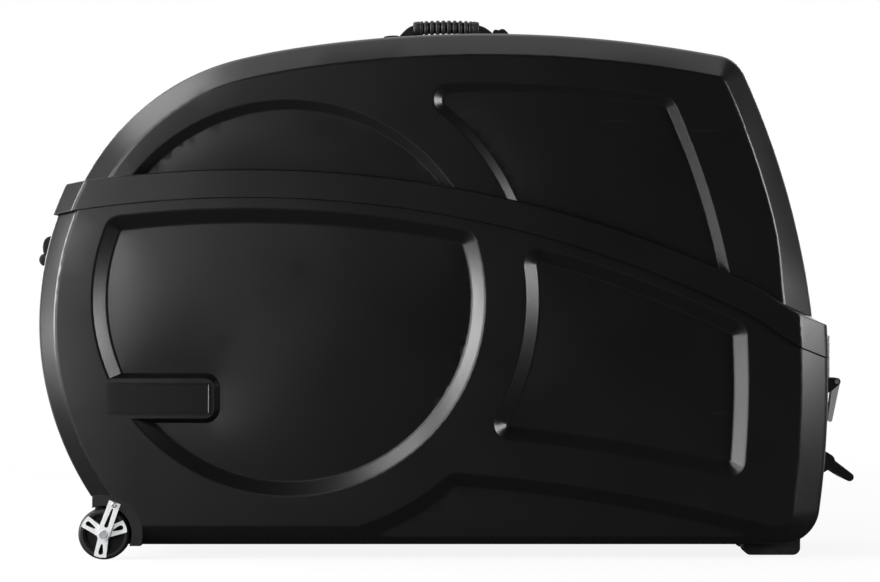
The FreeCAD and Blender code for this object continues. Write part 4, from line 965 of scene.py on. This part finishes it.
class CASE_OT_nose_handle(bpy.types.Operator):
    """Makes the nose handle: ribbed grip, straps on their pins, keepers and brackets"""

    bl_idname = "case.nose_handle"
    bl_label = "Nose Handle"

    def execute(self, context):
        sizes = context.scene.travel_case.sizes
        # The nose grip is painted the darker black, not the top grip's rubber: painted shade
        make_grip("nose_grip", "nose_grip_ribbed", (0, 1, 0), (1, 0, 0), "painted_shade_black", 0.0)
        grip = middle("nose_grip")
        grip_low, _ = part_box("nose_grip")
        pin = middle("nose_pin_near")
        low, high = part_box("nose_strap_near")
        eye_radius = high.x - pin.x
        start = Vector((pin.x - eye_radius * 0.45, low.y + EYE_LENGTH, pin.z))
        stop = Vector((grip.x + sizes.grip_droop, grip_low.y + SEAM_TUCK, grip.z))
        rows = []
        for share in np.linspace(0, 1, STRAP_ROWS):
            ease = ramp(share, 0, 1)
            x = start.x + (stop.x - start.x) * ease
            y = start.y - EYE_LENGTH * 0.4 + (stop.y - start.y + EYE_LENGTH * 0.4) * share
            z = start.z + (stop.z - start.z) * (0.3 * share + 0.7 * ease)
            half = (EYE_LENGTH + (sizes.strap_width - EYE_LENGTH) * ease) / 2
            rows.append((Vector((x, y, z - half)), Vector((x, y, z + half))))
        strap = ribbon("nose_webbing_near", rows, sizes.strap_thickness)
        bore = (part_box("nose_pin_near")[1].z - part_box("nose_pin_near")[0].z) / 2 + 0.0001
        eye = [(0, bore), (0, eye_radius - 0.0008), (0.0003, eye_radius - 0.0002), (0.001, eye_radius)]
        eye += [(EYE_LENGTH - run, r) for run, r in reversed(eye[1:])] + [(EYE_LENGTH, bore), (0, bore)]
        loop = turned("nose_eye", eye, (0, 1, 0), (pin.x, low.y, pin.z))
        edit(loop)
        bpy.ops.uv.cube_project(cube_size=1.0, scale_to_bounds=False)
        leave_edit()
        loop.data.uv_layers[0].name = "weave"
        alone(strap)
        loop.select_set(True)
        bpy.ops.object.join()
        smooth(strap, STRAP_ANGLE)
        for obj, side in both_sides(strap, "nose_webbing"):
            fit(obj, f"nose_strap_{side}")
        soften_nodes(BRACKET_EDGE, *paired("nose_bracket"))
        keep_nodes(*paired("nose_pin"))
        low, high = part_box("nose_bracket_near")
        outline = [(high.x + x, low.z + z) for x, z in NOSE_KEEPER]
        near = moulded("nose_keeper_near", outline, (low.y - 0.001, high.y - 0.0001), CAP_EDGE)
        # The nose keepers are painted the darker black: painted shade
        for keeper, _ in both_sides(near, "nose_keeper"):
            hang_cap(keeper, "base", "painted_shade_black")
        return {"FINISHED"}


class CASE_OT_latches(bpy.types.Operator):
    """Makes the draw latches: bases, plated levers and hooks, and the strikes on the lid"""

    bl_idname = "case.latches"
    bl_label = "Latches"

    def execute(self, context):
        soften_nodes(CAST_EDGE, *paired("latch_base"))
        soften_nodes(SHEET_EDGE, *paired("latch_lever", "latch_hook", "latch_strike"))
        keep_nodes(*paired("latch_pins"))
        return {"FINISHED"}


def make_cheek(name, root, tip, outside, sizes):
    """The tapered cheek over one end of the tow handle's pin: a wide root and a round tip."""
    half_turn = np.linspace(-math.pi / 2, math.pi / 2, CHEEK_POINTS)
    # The points beside the root's two ends are left out, so that the rounding has room at its corners.
    root_turn = (half_turn[0], *half_turn[2:-2], half_turn[-1])
    rim = []
    for (x, z), radius, turns in ((root, sizes.cheek_root, root_turn), (tip, sizes.cheek_tip, half_turn)):
        rim += [(x + radius * math.cos(turn), z + radius * math.sin(turn)) for turn in turns]
    solid = bmesh.new()
    for y in (outside - sizes.cheek_thickness, outside + sizes.cheek_lap):
        for x, z in rim:
            solid.verts.new((x, y, z))
    loose = bmesh.ops.convex_hull(solid, input=solid.verts)["geom_interior"]
    inner = [item for item in loose if isinstance(item, bmesh.types.BMVert)]
    bmesh.ops.delete(solid, geom=inner, context="VERTS")
    cheek = mesh_piece(name, [], [])
    solid.to_mesh(cheek.data)
    solid.free()
    edit(cheek)
    bpy.ops.mesh.dissolve_limited(angle_limit=FLAT_ANGLE)
    bpy.ops.mesh.normals_make_consistent(inside=False)
    leave_edit()
    round_edges(cheek, CHEEK_EDGE, 3, STRAP_ANGLE)
    smooth(cheek)
    return cheek


class CASE_OT_tow_handle(bpy.types.Operator):
    """Makes the tow handle, its mount and the cheeks over its pin"""

    bl_idname = "case.tow_handle"
    bl_label = "Tow Handle"

    def execute(self, context):
        sizes = context.scene.travel_case.sizes
        soften_nodes(THICK_EDGE, "tow_handle")
        soften_nodes(THIN_EDGE, "tow_mount")
        keep_nodes("tow_pin")
        low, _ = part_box("tow_pin")
        pivot = middle("tow_pin")
        root = (pivot.x - sizes.cheek_run, pivot.z)
        near = make_cheek("tow_cheek_near", root, (pivot.x, pivot.z), low.y, sizes)
        for cheek, _ in both_sides(near, "tow_cheek"):
            hang_cap(cheek, "base", "trim_plastic")
        return {"FINISHED"}


class CASE_OT_carrier(bpy.types.Operator):
    """Makes the bicycle carrier inside the tub"""

    bl_idname = "case.carrier"
    bl_label = "Carrier"

    def execute(self, context):
        soften_nodes(THIN_EDGE, "frame_rail")
        soften_nodes(MOULDED_EDGE, "rail_supports")
        soften_nodes(THICK_EDGE, "fork_block", "frame_cradle")
        soften_nodes(THIN_EDGE, "skewer_lever")
        keep_nodes("fork_skewer", "skewer_nut")
        return {"FINISHED"}


class CASE_OT_cradle_pad(bpy.types.Operator):
    """Makes the padded lining of the frame cradle"""

    bl_idname = "case.cradle_pad"
    bl_label = "Cradle Pad"

    def execute(self, context):
        sizes = context.scene.travel_case.sizes
        low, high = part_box("cradle_pad")
        axis_x = (low.x + high.x) / 2
        outer = (high.x - low.x) / 2
        axis_z = low.z + outer
        reach = math.asin(min(1.0, (axis_z - high.z) / outer))
        first, last = math.pi + reach, 2 * math.pi - reach
        bpy.ops.object.select_all(action="DESELECT")
        bpy.ops.mesh.primitive_cube_add(size=2, location=(0, 0, 0))
        pad = context.object
        pad.name = "cradle_cushion"
        edit(pad)
        bpy.ops.mesh.subdivide(number_cuts=PAD_CUTS)
        leave_edit()
        half = (high.y - low.y) / 2
        edge_turn = sizes.pad_edge / outer / ((last - first) / 2)
        for vertex in pad.data.vertices:
            u, v, w = vertex.co
            u_edge = min(1.0, (1 - abs(u)) / (edge_turn * PAD_SPREAD))
            v_edge = min(1.0, (1 - abs(v)) / (sizes.pad_edge / half * PAD_SPREAD))
            crown = math.sqrt(max(0.0, 1 - (1 - u_edge) ** 2)) * math.sqrt(max(0.0, 1 - (1 - v_edge) ** 2))
            channel = 1 - CHANNEL_DEPTH * math.exp(-((abs(v) - CHANNEL_PLACE) / CHANNEL_WIDTH) ** 2)
            lift = PAD_LIP + (1 - PAD_LIP) * crown * channel
            turn = first + (last - first) * (u + 1) / 2
            radius = outer - PAD_THICKNESS * lift * (w + 1) / 2
            pull = 1 - PAD_PULL * (1 - u * u)
            vertex.co = (axis_x + radius * math.cos(turn), v * half * pull, axis_z + radius * math.sin(turn))
        face_outwards(pad)
        smooth(pad, ROUND_ANGLE)
        fit(pad, "cradle_pad", "cover")
        return {"FINISHED"}


class CASE_OT_fasteners(bpy.types.Operator):
    """Finishes the screws, rivets and bolts"""

    bl_idname = "case.fasteners"
    bl_label = "Fasteners"

    def execute(self, context):
        keep_nodes("housing_screws", "foot_screws", "latch_rivets", "strike_rivets")
        keep_nodes("crown_handle_screws", "nose_handle_screws", "tow_screws", "rail_bolts")
        return {"FINISHED"}


# Stage


def seen_rays(f, behind):
    """1 for what the camera sees, and for what gloss and glass show of the white behind the case."""
    kinds = ("Camera", "Glossy", "Transmission")
    camera, glossy, through = (f.node("ShaderNodeLightPath", output=f"Is {kind} Ray") for kind in kinds)
    return camera.math("MAXIMUM", camera, (glossy + through) * behind)


def pale_floor(radius):
    """A white floor that keeps the case's shadow and fades into the background."""
    f = new_finish("pale_floor")
    x, y, _ = f.parts(f.where())
    far = ((x * x + y * y) ** 0.5).between(*(radius * share for share in FLOOR_FADE))
    grain = f.noise(0.02, 3.0)
    seen = seen_rays(f, y.between(*BACKDROP_START))
    pale = f.mix(grain, (0.86, 0.86, 0.86, 1), (0.89, 0.89, 0.89, 1))
    tint = f.mix(seen, (0.1, 0.1, 0.1, 1), pale)
    matt = f.node("ShaderNodeBsdfDiffuse", {"Color": tint})
    glow = f.node("ShaderNodeEmission", {"Color": (1, 1, 1, 1), "Strength": 1.0})
    share = seen * (0.88 + 0.12 * far)
    mixed_floor = f.node("ShaderNodeMixShader", {0: share, 1: matt, 2: glow})
    f.node("ShaderNodeOutputMaterial", {"Surface": mixed_floor})
    return f.owner


def studio_world(level):
    """White behind the case for the camera, and a dim room for the light that falls on it."""
    f = Finish(bpy.context.scene.world or bpy.data.worlds.new("studio"))
    bpy.context.scene.world = f.owner
    _, ahead, _ = f.parts(f.node("ShaderNodeTexCoord", output="Generated"))
    seen = seen_rays(f, ahead.between(*BACKDROP_START))
    room = f.node("ShaderNodeBackground", {"Color": (1, 1, 1, 1), "Strength": level})
    white = f.node("ShaderNodeBackground", {"Color": (1, 1, 1, 1), "Strength": 1.0})
    both = f.node("ShaderNodeMixShader", {0: seen, 1: room, 2: white})
    f.node("ShaderNodeOutputWorld", {"Surface": both})


# Place, target, size and power of each lamp
CASE_MIDDLE = (0.0, 0.0, 0.45)
LIGHTS = {
    "left_side": ((-2.99, -0.97, 1.06), CASE_MIDDLE, (0.8, 1.5), 100.0),
    "left_low": ((-2.95, -0.52, 0.24), CASE_MIDDLE, (0.9, 0.4), 26.0),
    "left_high": ((-2.06, -1.19, 2.59), CASE_MIDDLE, (1.0, 1.0), 27.0),
    "nose_top": ((-2.0, 0.3, 2.8), (-0.2, 0.0, 0.6), (1.3, 1.3), 29.0),
    "front_left": ((-1.57, -2.72, 1.06), CASE_MIDDLE, (0.8, 1.5), 36.0),
    "front_low": ((-2.12, -2.12, 0.24), CASE_MIDDLE, (0.9, 0.4), 12.0),
    "right_side": ((2.87, -1.28, 1.06), CASE_MIDDLE, (0.8, 1.5), 64.0),
    "overhead": ((0.0, 0.6, 3.4), (0.0, 0.1, 0.4), (3.4, 1.2), 19.0),
    "back_left": ((-2.2, 3.0, 1.4), (0.0, 0.0, 0.4), (1.0, 2.0), 34.0),
    "back_right": ((2.2, 3.0, 1.4), (0.0, 0.0, 0.4), (1.0, 2.0), 34.0),
}


class CASE_OT_stage(bpy.types.Operator):
    """Sets up the floor, the background, the lights and the camera"""

    bl_idname = "case.stage"
    bl_label = "Stage"

    def execute(self, context):
        stage = context.scene.travel_case.stage
        bpy.ops.object.select_all(action="DESELECT")
        bpy.ops.mesh.primitive_circle_add(
            vertices=128, radius=stage.floor_radius, fill_type="NGON", location=(0, 0, -FLOOR_DROP)
        )
        floor = context.object
        floor.name = "floor"
        paint(floor, pale_floor(stage.floor_radius))
        studio_world(stage.room_level)
        for name, (place, target, size, power) in LIGHTS.items():
            aim = (Vector(target) - Vector(place)).to_track_quat("-Z", "Y").to_euler()
            bpy.ops.object.light_add(type="AREA", location=place, rotation=aim)
            lamp = context.object
            lamp.name = name
            lamp.data.shape = "RECTANGLE"
            lamp.data.size, lamp.data.size_y = size
            lamp.data.energy = power
        bpy.ops.object.camera_add(location=stage.camera_place, rotation=(math.pi / 2, 0, 0))
        camera = context.object
        camera.data.sensor_width = 36
        camera.data.lens = stage.lens
        camera.data.clip_end = 100
        context.scene.camera = camera
        context.scene.view_settings.view_transform = "Standard"
        return {"FINISHED"}


class CASE_PT_panel(bpy.types.Panel):
    """Lists the travel case's settings and pieces"""

    bl_idname = "CASE_PT_panel"
    bl_label = "Travel Case"
    bl_space_type = "VIEW_3D"
    bl_region_type = "UI"
    bl_category = "Travel Case"

    def draw(self, context):
        settings = context.scene.travel_case
        for group in (settings.look, settings.sizes, settings.stage):
            box = self.layout.box()
            for key in group.__annotations__:
                box.prop(group, key)
        for operator in OPERATORS:
            self.layout.operator(operator.bl_idname)


OPERATORS = (
    CASE_OT_shells,
    CASE_OT_badge_plates,
    CASE_OT_wheels,
    CASE_OT_feet,
    CASE_OT_crown_handle,
    CASE_OT_nose_handle,
    CASE_OT_latches,
    CASE_OT_tow_handle,
    CASE_OT_carrier,
    CASE_OT_cradle_pad,
    CASE_OT_fasteners,
    CASE_OT_stage,
)
CLASSES = (CaseLook, CaseSizes, CaseStage, TravelCase, *OPERATORS, CASE_PT_panel)


def register():
    for cls in CLASSES:
        bpy.utils.register_class(cls)
    bpy.types.Scene.travel_case = PointerProperty(type=TravelCase)


def unregister():
    del bpy.types.Scene.travel_case
    for cls in reversed(CLASSES):
        bpy.utils.unregister_class(cls)


def main():
    register()
    bpy.ops.case.shells()
    bpy.ops.case.badge_plates()
    bpy.ops.case.wheels()
    bpy.ops.case.feet()
    bpy.ops.case.crown_handle()
    bpy.ops.case.nose_handle()
    bpy.ops.case.latches()
    bpy.ops.case.tow_handle()
    bpy.ops.case.carrier()
    bpy.ops.case.cradle_pad()
    bpy.ops.case.fasteners()
    bpy.ops.case.stage()


if __name__ == "__main__":
    main()
